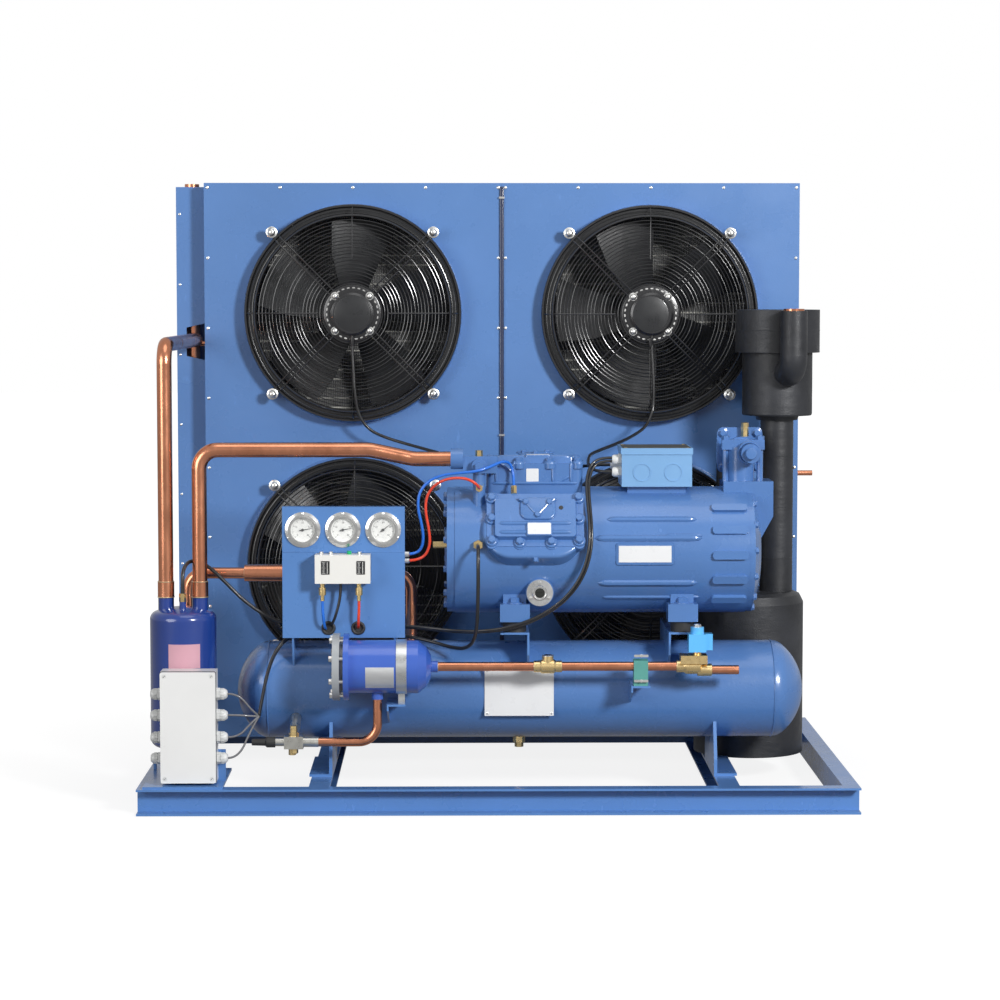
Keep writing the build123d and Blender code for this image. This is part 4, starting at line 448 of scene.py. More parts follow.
def turned(origin, direction, profile, sides=32, phase=0.0):
    """Surface of revolution: p(s, t) = origin + z(s) d + r(s) (cos t u + sin t v), its ends closed.

    profile holds (z, r) along the axis, from one end of the piece to the other.
    """
    profile = np.array(profile, float)
    u, v, d = square_frame(direction)
    turn = phase + np.arange(sides) * TAU / sides
    ring = np.cos(turn)[:, None] * u + np.sin(turn)[:, None] * v
    rings = profile[:, None, :1] * d + profile[:, None, 1:] * ring[None]
    origin = np.array(origin, float)
    return capped(rings + origin, profile[[0, -1], :1] * d + origin)


def tube(path, radius, sides=6, closed=False):
    """Tube: p(i, t) = path(i) + r(i) (cos t n(i) + sin t b(i)), n and b square to the path's tangent."""
    path = np.array(path, float)
    tangent = np.roll(path, -1, 0) - np.roll(path, 1, 0) if closed else np.gradient(path, axis=0)
    tangent /= np.linalg.norm(tangent, axis=1)[:, None]
    spread = np.linalg.svd(path - path.mean(0), full_matrices=True)[2][2]
    normal = np.cross(tangent, spread)
    normal /= np.linalg.norm(normal, axis=1)[:, None]
    other = np.cross(tangent, normal)
    turn = np.arange(sides) * TAU / sides
    ring = np.cos(turn)[None, :, None] * normal[:, None] + np.sin(turn)[None, :, None] * other[:, None]
    rings = path[:, None] + np.broadcast_to(radius, len(path))[:, None, None] * ring
    if closed:
        points = rings.reshape(-1, 3)
        return outward(points, grid_faces(len(path) + 1, sides) % len(points))
    return capped(rings, path[[0, -1]])


def hoop(centre, direction, radius, thick, steps, sides=6):
    """Closed wire ring of that radius about an axis, thick being the wire's own radius."""
    u, v, _ = square_frame(direction)
    turn = np.arange(steps) * TAU / steps
    path = np.array(centre, float) + radius * (np.cos(turn)[:, None] * u + np.sin(turn)[:, None] * v)
    return tube(path, thick, sides, True)


def round_outline(width, height, corner, steps=5):
    """Rounded rectangle: four quarter arcs about the corner centres, as (x, y) rows."""
    corner = min(corner, width / 2, height / 2)
    arcs = []
    for k, (_, i, j) in enumerate(CORNERS):
        turn = np.linspace(0, pi / 2, steps) + k * pi / 2
        centre = (i * (width / 2 - corner), j * (height / 2 - corner))
        arcs.append(np.stack((centre[0] + corner * np.cos(turn), centre[1] + corner * np.sin(turn)), -1))
    return np.vstack(arcs)


def bead(centre, width, height, corner, thick, sides=5):
    """Bead round a rounded rectangle that faces the front."""
    x, z = round_outline(width, height, corner).T
    return tube(np.column_stack((x, 0 * x, z)) + centre, thick, sides, True)


def pad(centre, width, height, rise, corner, soft=0.0, sides=5, across=RIGHT, out=FRONT):
    """Raised pad: one rounded outline carried outward through rings that draw in over its edge.

    p(k, t) = centre + a(k) outline(t) + z(k) out, where a shrinks by soft (1 - cos) near the top.
    """
    out = np.array(out, float) / np.linalg.norm(out)
    across = np.array(across, float) / np.linalg.norm(across)
    up = np.cross(out, across)
    bend = np.linspace(0, pi / 2, 4) if soft else np.array((0.0,))
    inset = np.concatenate(((0.0,), soft * (1 - np.cos(bend))))
    level = np.concatenate(((0.0,), rise - soft + soft * np.sin(bend)))
    rings = []
    for draw, z in zip(inset, level):
        ring = round_outline(width - 2 * draw, height - 2 * draw, max(corner - draw, 0.0002), sides)
        rings.append(ring[:, :1] * across + ring[:, 1:] * up + z * out)
    centre = np.array(centre, float)
    return capped(np.array(rings) + centre, np.array(((0, 0, 0), level[-1] * out)) + centre)


def rib(path, radius, sides=8):
    """Raised bead: a tube with rounded ends, its radius r(s) = radius sqrt(1 - e(s)^2) near each end."""
    path = np.array(path, float)
    travel = np.concatenate(((0.0,), np.cumsum(np.linalg.norm(np.diff(path, axis=0), axis=1))))
    edge = np.minimum(travel, travel[-1] - travel)
    swell = np.sqrt(np.clip(1 - (1 - np.clip(edge / (radius * 3), 0, 1)) ** 2, 0.02, 1))
    return tube(path, radius * swell, sides)


def around(centre, radius, angles, axis=1):
    """Points of a circle about the X (0) or Y (1) axis through the centre, at angles in radians."""
    ring = np.zeros((len(angles), 3))
    ring[:, 1 - axis] = np.cos(angles)
    ring[:, 2] = np.sin(angles)
    return centre + radius * ring


def button(centre, out, radius, edge, top, crown, sides=16):
    """Low round head: its rim stands up to edge, and it draws in to the radius crown at top."""
    return turned(centre, out, [(-SINK, radius), (edge, radius), (top, crown)], sides)


def hex_bolt(centre, out, across, height, washer=0.0):
    """Hexagon head with a chamfered crown on an optional round washer."""
    lift = 0.0016 if washer else 0.0
    top = lift + height
    head = turned(centre, out, [(0, across), (top - across * 0.16, across), (top, across * 0.80)], 6, 0.3)
    if not washer:
        return [head]
    return [button(centre, out, washer, lift * 0.7, lift, washer * 0.93, 20), head]


def dome(start, height, radius, steps):
    """Profile of a domed end: a quarter ellipse of z against r, without its pole."""
    return [(start + height * sin(t), radius * cos(t)) for t in np.linspace(0, pi / 2, steps)[:-1]]


def dome_nut(centre, out, radius, height, washer):
    """Washer, hexagon and domed cap."""
    cap = radius * 0.84
    return [
        button(centre, out, washer, 0.0015, 0.002, washer * 0.95, 20),
        turned(centre, out, [(0.0, radius), (height * 0.40, radius), (height * 0.48, radius * 0.86)], 6, 0.2),
        turned(centre, out, [(SINK, cap), *dome(height * 0.45, height * 0.55, cap, 6)], 18),
    ]


def rivet(centre, radius, out=FRONT):
    """Domed rivet head of a few dozen faces."""
    return turned(centre, out, [(-0.0006, radius), *dome(0.0, radius * 0.5, radius, 4)], 10)


def curved_label(centre, side, along, turn, outer, inner, ends):
    """Thin label round a cylinder: p(t, s) = centre + r (cos t front + sin t side) + s along."""
    turn = np.linspace(*turn, 14)[:, None]
    section = np.cos(turn) * FRONT + np.sin(turn) * side
    low, high = np.outer(ends, along)
    edges = ((outer, low), (outer, high), (inner, high), (inner, low))
    points = np.stack([centre + reach * section + end for reach, end in edges], axis=1).reshape(-1, 3)
    closing = ((0, 1, 2, 3), (55, 54, 53, 52))
    return outward(points, np.vstack((grid_faces(14, 4), closing)))


def add_piece(name, data, finish, slot, *replaced):
    """Puts a piece in the scene with its finish and body, and hides the nodes that it replaces; slot is not
    used.
    """
    piece = bpy.data.objects.new(name, data)
    bpy.context.scene.collection.objects.link(piece)
    data.materials.clear()
    data.materials.append(material(finish))
    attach(piece, "unit")
    if replaced:
        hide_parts(*replaced)
    return piece


def build(name, parts, finish, slot="", replaced=(), smooth=35):
    """Joins (points, faces) parts into one mesh piece; its slot, the finish's name if none is given, is
    passed on but not used.
    """
    starts = np.cumsum([0] + [len(points) for points, _ in parts])
    points = np.vstack([points for points, _ in parts])
    faces = np.vstack([faces + start for (_, faces), start in zip(parts, starts)])
    mesh = bpy.data.meshes.new(name)
    triangle = faces[:, 2] == faces[:, 3]
    quads = [f[:3] if short else f for f, short in zip(faces.tolist(), triangle)]
    mesh.from_pydata(points.tolist(), [], quads)
    mesh.validate()
    mesh.shade_smooth()
    mesh.set_sharp_from_angle(angle=radians(smooth))
    add_piece(name, mesh, finish, slot or finish, *replaced)


# ------------------------------------------------------------------ stage, cords and finishes


LAMPS = (  # name, azimuth and elevation in degrees, distance, width (0 for the setting), power in watts
    ("key", 33, 20, 6.5, 0, 345),
    ("fill", -42, 12, 6.5, 3.6, 120),
    ("top", 8, 70, 5.0, 3.4, 36),
    ("back", 168, 30, 6.0, 3.2, 60),
)
AIM = (0, 0, 0.7)  # what the lamps point at
WHITE = (1, 1, 1, 1)


class StageOperator(bpy.types.Operator):
    """Floor, soft lamps, pale surround and camera."""

    bl_idname = "unit.stage"
    bl_label = "Floor, lamps and camera"

    def execute(self, context):
        scene = context.scene
        scene.view_settings.view_transform = "Standard"
        self.floor(context)
        self.surround(scene)
        for name, azimuth, elevation, distance, size, power in LAMPS:
            data = bpy.data.lights.new(name, "AREA")
            data.shape = "DISK"
            data.size = size or scene.unit_sizes.key_size
            data.energy = power
            lamp = bpy.data.objects.new(name, data)
            a, e = radians(azimuth), radians(elevation)
            away = np.array((sin(a) * cos(e), -cos(a) * cos(e), sin(e)))
            lamp.location = away * distance + AIM
            lamp.rotation_euler = Vector(away).to_track_quat("Z", "Y").to_euler()
            lamp.visible_glossy = name != "back"
            scene.collection.objects.link(lamp)

        camera = bpy.data.cameras.new("camera")
        camera.lens = 100.8
        camera.sensor_width = 36
        camera.clip_end = 200
        eye = bpy.data.objects.new("camera", camera)
        eye.location = (-0.0848, -scene.unit_sizes.camera_distance, 1.2494)
        eye.rotation_euler = (radians(90 - 4.35), 0, radians(-0.757))
        scene.collection.objects.link(eye)
        scene.camera = eye
        return {"FINISHED"}

    def floor(self, context):
        """Pale floor that glows for the camera, and more so far from the unit."""
        bpy.ops.mesh.primitive_grid_add(x_subdivisions=8, y_subdivisions=8, size=40, location=(0, 6, -0.001))
        floor = context.object
        floor.name = "floor"
        f = Finish("floor")
        pale = f.blend(f.noise(2.0), (0.17, 0.17, 0.17), (0.19, 0.19, 0.19))
        f.set(Base_Color=pale, Roughness=0.9, Specular_IOR_Level=0.1)
        seen = f.node("ShaderNodeLightPath").outputs
        through = f.math("MAXIMUM", seen["Is Camera Ray"], seen["Is Transmission Ray"])
        direct = f.math("MAXIMUM", through, f.times(seen["Is Glossy Ray"], 0.22))
        far = f.ramp(f.reach(X=0.0, Y=-6.0), 0.9, 2.4, 0.86, 1.0)
        strength = f.times(direct, far)
        glow = f.node("ShaderNodeEmission", {"Color": WHITE, "Strength": strength})
        both = f.node("ShaderNodeAddShader", {0: f.shader.outputs[0], 1: glow.outputs[0]})
        f.tree.links.new(both.outputs[0], f.tree.nodes["Material Output"].inputs["Surface"])
        floor.data.materials.append(f.material)

    def surround(self, scene):
        """White world, bright to the camera and dim to the surfaces: a base and a share per kind of ray."""
        world = bpy.data.worlds.new("surround")
        world.use_nodes = True
        scene.world = world
        tree = world.node_tree
        back = tree.nodes["Background"]
        back.inputs["Color"].default_value = WHITE
        path = tree.nodes.new("ShaderNodeLightPath").outputs
        total = None
        for name, share in (("Is Camera Ray", 0.82), ("Is Transmission Ray", 0.82), ("Is Glossy Ray", 0.34)):
            step = tree.nodes.new("ShaderNodeMath")
            step.operation = "MULTIPLY_ADD"
            tree.links.new(path[name], step.inputs[0])
            step.inputs[1].default_value = share
            step.inputs[2].default_value = 0.18
            if total:
                tree.links.new(total, step.inputs[2])
            total = step.outputs[0]
        tree.links.new(total, back.inputs["Strength"])


def free_cord(name, node, hose, span, thick, points, finish=""):
    """A free cord: one NURBS spline of order 3 with listed control points."""
    curve = bpy.data.curves.new(name, "CURVE")
    curve.dimensions = "3D"
    curve.bevel_depth = thick / 2
    curve.bevel_resolution = 4
    curve.use_fill_caps = True
    spline = curve.splines.new("NURBS")
    spline.points.add(len(points) - 1)
    spline.points.foreach_set("co", np.column_stack((np.array(points), np.ones(len(points)))).ravel())
    spline.order_u = 3
    spline.use_endpoint_u = True
    spline.resolution_u = 10
    piece = add_piece(name, curve, finish or hose, hose, node)


# Name, replaced node, hose, length, diameter and route of each cord.
MOTOR_LEADS = (
    ("motor_lead_front", "wiring", "black_hose", 1.374, 0.007, [
        (0.278, -0.3, 0.826), (0.251, -0.3, 0.826), (0.231, -0.306, 0.811), (0.221, -0.324, 0.782),
        (0.22, -0.354, 0.75), (0.222, -0.386, 0.717), (0.225, -0.41, 0.675), (0.224, -0.423, 0.621),
        (0.207, -0.429, 0.559), (0.167, -0.425, 0.502), (0.114, -0.417, 0.462), (0.061, -0.414, 0.437),
        (0.001, -0.408, 0.423), (-0.06, -0.381, 0.415), (-0.121, -0.343, 0.414), (-0.19, -0.319, 0.419),
        (-0.28, -0.314, 0.424), (-0.39, -0.314, 0.423), (-0.47, -0.316, 0.416), (-0.52, -0.327, 0.392),
        (-0.546, -0.353, 0.355), (-0.559, -0.389, 0.313), (-0.566, -0.427, 0.271), (-0.571, -0.457, 0.239),
        (-0.573, -0.471, 0.224),
    ]),
    ("motor_lead_rear", "wiring", "black_hose", 1.377, 0.007, [
        (0.278, -0.3, 0.834), (0.249, -0.3, 0.834), (0.225, -0.308, 0.817), (0.215, -0.328, 0.786),
        (0.214, -0.358, 0.754), (0.216, -0.39, 0.719), (0.219, -0.414, 0.677), (0.218, -0.427, 0.623),
        (0.201, -0.433, 0.561), (0.163, -0.431, 0.506), (0.11, -0.423, 0.466), (0.059, -0.42, 0.443),
        (-0.001, -0.414, 0.427), (-0.064, -0.387, 0.419), (-0.123, -0.349, 0.418), (-0.19, -0.325, 0.423),
        (-0.28, -0.32, 0.428), (-0.39, -0.32, 0.427), (-0.47, -0.322, 0.42), (-0.52, -0.333, 0.396),
        (-0.546, -0.359, 0.361), (-0.559, -0.395, 0.319), (-0.566, -0.433, 0.277), (-0.571, -0.463, 0.245),
        (-0.573, -0.477, 0.23),
    ]),
)
HOSES = (
    ("fan_lead_left", "wiring", "black_hose", 0.997, 0.008, [
        (-0.372, 0.162, 1.123), (-0.372, 0.162, 1.09), (-0.369, 0.16, 1.04), (-0.366, 0.158, 0.98),
        (-0.358, 0.162, 0.92), (-0.33, 0.17, 0.878), (-0.28, 0.17, 0.856), (-0.21, 0.135, 0.838),
        (-0.13, 0.07, 0.82), (-0.05, -0.02, 0.808), (0.04, -0.085, 0.8), (0.13, -0.125, 0.8),
        (0.2, -0.172, 0.804), (0.244, -0.215, 0.812), (0.278, -0.215, 0.812),
    ]),
    ("fan_lead_right", "wiring", "black_hose", 0.759, 0.008, [
        (0.406, 0.162, 1.123), (0.406, 0.162, 1.09), (0.409, 0.16, 1.04), (0.412, 0.158, 0.985),
        (0.41, 0.16, 0.93), (0.39, 0.13, 0.888), (0.35, 0.074, 0.866), (0.306, -0.004, 0.852),
        (0.262, -0.09, 0.842), (0.234, -0.16, 0.836), (0.224, -0.215, 0.828), (0.222, -0.252, 0.814),
        (0.232, -0.282, 0.804), (0.254, -0.3, 0.8), (0.278, -0.3, 0.8),
    ]),
    ("low_pressure_hose", "blue_hoses", "blue_hose", 0.508, 0.007, [
        (-0.226, -0.352, 0.604), (-0.204, -0.352, 0.604), (-0.186, -0.36, 0.616), (-0.18, -0.371, 0.644),
        (-0.185, -0.379, 0.68), (-0.194, -0.382, 0.718), (-0.192, -0.383, 0.752), (-0.174, -0.384, 0.78),
        (-0.138, -0.387, 0.798), (-0.092, -0.394, 0.804), (-0.048, -0.397, 0.808), (-0.014, -0.38, 0.82),
        (0.01, -0.356, 0.83), (0.03, -0.333, 0.824), (0.038, -0.3304, 0.7952), (0.038, -0.3464, 0.7674),
    ]),
    ("low_pressure_capillary", "blue_hoses", "blue_hose", 0.0968, 0.007, [
        (-0.424, -0.396, 0.495), (-0.424, -0.396, 0.476), (-0.422, -0.396, 0.454), (-0.42, -0.388, 0.434),
        (-0.418, -0.372, 0.424), (-0.417, -0.356, 0.421),
    ]),
    ("high_pressure_hose", "red_hoses", "red_hose", 0.395, 0.007, [
        (-0.226, -0.352, 0.588), (-0.202, -0.352, 0.588), (-0.176, -0.358, 0.6), (-0.164, -0.367, 0.63),
        (-0.168, -0.371, 0.67), (-0.176, -0.372, 0.708), (-0.174, -0.373, 0.744), (-0.158, -0.38, 0.77),
        (-0.132, -0.393, 0.787), (-0.102, -0.406, 0.793), (-0.074, -0.416, 0.791), (-0.053, -0.416, 0.779),
        (-0.046, -0.4, 0.767), (-0.046, -0.372, 0.765),
    ]),
    ("high_pressure_capillary", "red_hoses", "red_hose", 0.0942, 0.007, [
        (-0.336, -0.396, 0.495), (-0.336, -0.396, 0.476), (-0.337, -0.396, 0.454), (-0.338, -0.388, 0.436),
        (-0.339, -0.372, 0.427), (-0.339, -0.356, 0.424),
    ]),
    ("oil_hose", "black_hoses", "black_hose", 1.191, 0.009, [
        (-0.049, -0.412, 0.631), (-0.049, -0.44, 0.631), (-0.049, -0.462, 0.618), (-0.049, -0.47, 0.59),
        (-0.049, -0.468, 0.54), (-0.05, -0.46, 0.486), (-0.052, -0.444, 0.436), (-0.06, -0.42, 0.396),
        (-0.082, -0.386, 0.376), (-0.116, -0.35, 0.376), (-0.16, -0.32, 0.386), (-0.224, -0.301, 0.398),
        (-0.31, -0.291, 0.406), (-0.4, -0.288, 0.41), (-0.49, -0.291, 0.418), (-0.56, -0.296, 0.442),
        (-0.618, -0.3, 0.482), (-0.664, -0.306, 0.53), (-0.7, -0.318, 0.568), (-0.732, -0.344, 0.59),
        (-0.752, -0.374, 0.586), (-0.76, -0.396, 0.566), (-0.76, -0.4, 0.54), (-0.76, -0.4, 0.514),
    ]),
    ("switch_cable", "black_hoses", "black_hose", 0.1343, 0.007, [
        (-0.38, -0.396, 0.539), (-0.38, -0.396, 0.516), (-0.384, -0.396, 0.49), (-0.391, -0.396, 0.464),
        (-0.398, -0.388, 0.444), (-0.404, -0.373, 0.433), (-0.405, -0.356, 0.43),
    ]),
)
BOX_LEADS = (  # height of the gland, of the second point, and length
    (0.284, 0.243, 0.0993), (0.233, 0.2287, 0.0775), (0.18, 0.2138, 0.093), (0.13, 0.1998, 0.1293),
)


class CordsOperator(bpy.types.Operator):
    """Motor leads, junction-box leads, fan leads, gauge hoses, oil hose and switch capillaries."""

    bl_idname = "unit.cords"
    bl_label = "Cords and hoses"

    def execute(self, context):
        for cord in MOTOR_LEADS:
            free_cord(*cord)
        for number, (gland, near, span) in enumerate(BOX_LEADS, 1):
            route = [(-0.573, -0.474, 0.227), (-0.59, -0.484, near)]
            route += [(x, -0.495, gland) for x in (-0.62, -0.646)]
            free_cord(f"box_lead_{number}", "wiring", "black_hose", span, 0.005, route, "grey_hose")
        for cord in HOSES:
            free_cord(*cord)
        return {"FINISHED"}


PAINTED = {
    "frame_paint": "base_rails base_cross_rails receiver_feet compressor_rails gauge_panel",
    "panel_paint": "fan_panel_left fan_panel_right",
    "sheet_paint": "cabinet_sheets",
    "coil_aluminium": "condenser_coil",
    "copper": "condenser_headers discharge_pipes liquid_pipes suction_inlet",
    "black_steel": "fan_guards fan_motors",
    "black_fan": " ".join(IMPELLERS),
    "casting_paint": "receiver_shell compressor_housing compressor_end_covers cylinder_heads "
    "suction_valve discharge_valve",
    "vessel_paint": "oil_separator",
    "drier_paint": "filter_drier",
    "grey_paint": "drier_cover",
    "brass": "brass_fittings",
    "valve_set": "receiver_valve",
    "line_set": "line_fittings",
    "clamp_set": "pipe_clamps",
    "steel": "bolts low_range_screw low_difference_screw high_range_screw",
    "sight_set": "oil_sight_glass",
    "iron": "motor_stator crankshaft",
    "rubber": "rubber_mounts",
    "light_blue_plastic": "terminal_box",
    "gland_plastic": "cable_glands",
    "cyan_plastic": "solenoid_coil",
    "gauge_steel": "gauge_cases",
    "glass": "gauge_lenses",
    "needle_paint": "low_pressure_needle high_pressure_needle oil_pressure_needle",
    "switch_plastic": "pressure_switch",
    "green_plastic": "reset_button",
    "white_plastic": "junction_box junction_box_lid",
    "foam": "suction_accumulator suction_filter suction_pipes",
    "pale_plate": "nameplates",
}


class PaintOperator(bpy.types.Operator):
    """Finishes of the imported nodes, in place of their plain ones."""

    bl_idname = "unit.paint"
    bl_label = "Finishes"

    def execute(self, context):
        for finish, nodes in PAINTED.items():
            for node in nodes.split():
                data = NODES[node].data
                data.materials.clear()
                data.materials.append(material(finish))
        return {"FINISHED"}


# ------------------------------------------------------------------ fine pieces


def spoke(x, z, turn, reach, depth, offset=0.0):
    """Line of an arm wire: out from the fan's axis at a turn, beside its radius by offset."""
    along = np.array((cos(radians(turn)), 0, sin(radians(turn))))
    side = np.array((-along[2], 0, along[0]))
    return np.array((x, 0, z)) + np.outer(reach, along) + offset * side + np.outer(depth, REAR)


class GuardsOperator(bpy.types.Operator):
    """Wire guards, motor flanges, domed bolts and blank motor plates of the four fans."""

    bl_idname = "unit.guards"
    bl_label = "Fan guards"

    def execute(self, context):
        sizes = context.scene.unit_sizes
        front = place("fan_guards")[0][1] + 0.0022
        foot_reach, hub_reach, slot_reach = 0.21, 0.045, 0.0665  # from the fan's axis
        wires, feet, caps, plates, slots = [], [], [], [], []
        for fan in IMPELLERS:
            x, _, z = place(fan)[2]
            wires += self.rings(x, z, front, sizes) + self.arms(x, z, front, sizes.arm_wire / 2)
            for _, i, j in CORNERS:
                foot = (x + foot_reach * i, PANEL_FACE, z + foot_reach * j)
                feet.append(turned(foot, FRONT, [(0, 0.0085), (0.037, 0.0085)], 12))
                caps += dome_nut((foot[0], COLLAR_FACE, foot[2]), FRONT, 0.0118, 0.013, 0.0150)
                hub = (x + hub_reach * i, front - 0.0005, z + hub_reach * j)
                caps += dome_nut(hub, FRONT, 0.0096, 0.011, 0.0108)
            plates.append(button((x, 0.1582, z), FRONT, 0.0465, 0.0006, 0.0009, 0.0455, 40))
            flange = [(0, 0.0745), (0.002, 0.0745), (0.0026, 0.0735), (0.0026, 0.058)]
            wires.append(turned((x, 0.1695, z), FRONT, flange, 48))
            turns = TAU * np.arange(30) / 30 + 0.05
            for a, spot in zip(turns, around((x, 0.1672, z), slot_reach, turns)):
                slots.append(pad(spot, 0.0075, 0.0034, 0.0008, 0.0016, sides=3, across=(-sin(a), 0, cos(a))))
            lead_boot = [(0, 0.006), (0.014, 0.006), (0.022, 0.0045)]
            wires.append(turned((x, 0.160, z - 0.062), DOWN, lead_boot, 14))
        build("guard_wires", wires, "black_steel", replaced=["fan_guards"])
        build("guard_feet", feet, "black_steel")
        build("guard_bolts", caps + self.drier_bolts(), "steel", replaced=["bolts"])
        build("motor_plates", plates, "dull_plate", "black_steel")
        build("motor_slots", slots, "steel")
        return {"FINISHED"}

    def rings(self, x, z, front, sizes):
        """Ring wires, bending back to the collar at the rim, and the thicker hoops that hold them."""
        wires = []
        inner, bend, outer = 0.084, 0.235, 0.274  # first ring, where they start to bend back, and the last
        for radius in np.arange(inner, outer, sizes.guard_pitch):
            depth = front + 0.003 + 0.028 * max(0.0, (radius - bend) / 0.044) ** 2
            wires.append(hoop((x, depth, z), REAR, radius, sizes.guard_wire / 2, 64, 5))
        hoops = (
            (0.279, COLLAR_FACE, 0.0040), (0.2765, 0.203, 0.0022), (0.2535, 0.1715, 0.0024),
            (0.077, front + 0.001, 0.0024),
        )
        return wires + [hoop((x, depth, z), REAR, radius, thick, 72) for radius, depth, thick in hoops]

    def arms(self, x, z, front, thick):
        """Pairs of wires to the four feet, and single wires between them."""
        wires = []
        reach = (0.060, 0.150, 0.246, 0.262, 0.272, 0.280, 0.306)
        depth = front + np.array((0, 0, 0, 0.006, 0.022, 0.0295, 0.0295))
        for turn, _, _ in CORNERS:
            wires += [tube(spoke(x, z, turn, reach, depth, offset), thick) for offset in (-0.0072, 0.0072)]
        depth = front + np.array((0, 0, 0, 0.006, 0.018, 0.028))
        for turn, start in ((0, 0.091), (180, 0.091), (90, 0.142), (270, 0.091)):
            reach = (start, 0.16, 0.236, 0.258, 0.270, 0.277)
            wires.append(tube(spoke(x, z, turn, reach, depth), thick * 0.85))
        return wires

    def drier_bolts(self):
        """Studs, nuts and washers round the filter drier's cover."""
        low, _, middle = place("drier_cover")
        parts = []
        for _, y, z in around(middle, 0.071, np.radians(22.5 + 45 * np.arange(8)), 0):
            parts.append(turned((-0.371, y, z), LEFT, [(0, 0.004), (0.009, 0.004)], 10))
            parts += hex_bolt((low[0], y, z), LEFT, 0.0075, 0.0066, 0.0092)
        return parts


class PanelsOperator(bpy.types.Operator):
    """Rivets of the cabinet, the joint strip between its fan panels and the backing of the headers."""

    bl_idname = "unit.panels"
    bl_label = "Cabinet details"

    def execute(self, context):
        sizes = context.scene.unit_sizes
        inset, top_row, foot_row = 0.009, 1.508, 0.085
        rows, columns = [], []
        edges = [place(node)[:2] for node in ("fan_panel_left", "fan_panel_right")]
        heights = top_row - sizes.rivet_pitch * np.arange(8)
        for low, high in edges:
            ends = (low[0] + inset, high[0] - inset)
            columns += [rivet((x, PANEL_FACE, z), sizes.rivet) for x in ends for z in heights]
            across = np.linspace(*ends, 5)
            rows += [rivet((x, PANEL_FACE, top_row), sizes.rivet) for x in across[1:-1]]
            rows += [rivet((x, PANEL_FACE, foot_row), sizes.rivet) for x in across]
        rivets = columns + rows
        for z in np.linspace(0.15, 1.44, 8):
            rivets.append(rivet((-0.829, 0.288, z), sizes.rivet * 0.8))
            for out, x in ((LEFT, -0.76), (RIGHT, 0.796)):
                rivets += [rivet((x, y, z), sizes.rivet, out) for y in (0.255, 0.535)]
        build("panel_rivets", rivets, "steel")
        backing = pad((-0.772, 0.402, 1.105), 0.050, 0.150, 0.002, 0.001, sides=2)
        build("header_backing", [backing], "sheet_paint", "panel_paint")
        joint = (edges[0][1][0] + edges[1][0][0]) / 2
        strip = pad((joint, PANEL_FACE, 0.795), 0.0110, 1.432, 0.0065, 0.003, 0.003, 3)
        build("joint_strip", [strip], "navy_strip", "panel_paint")
        clips = [
            pad((joint, PANEL_FACE, z), 0.0150, 0.0050, 0.0078, 0.001, sides=2) for z in (1.482, 0.862, 0.640)
        ]
        build("joint_clips", clips, "steel")
        return {"FINISHED"}


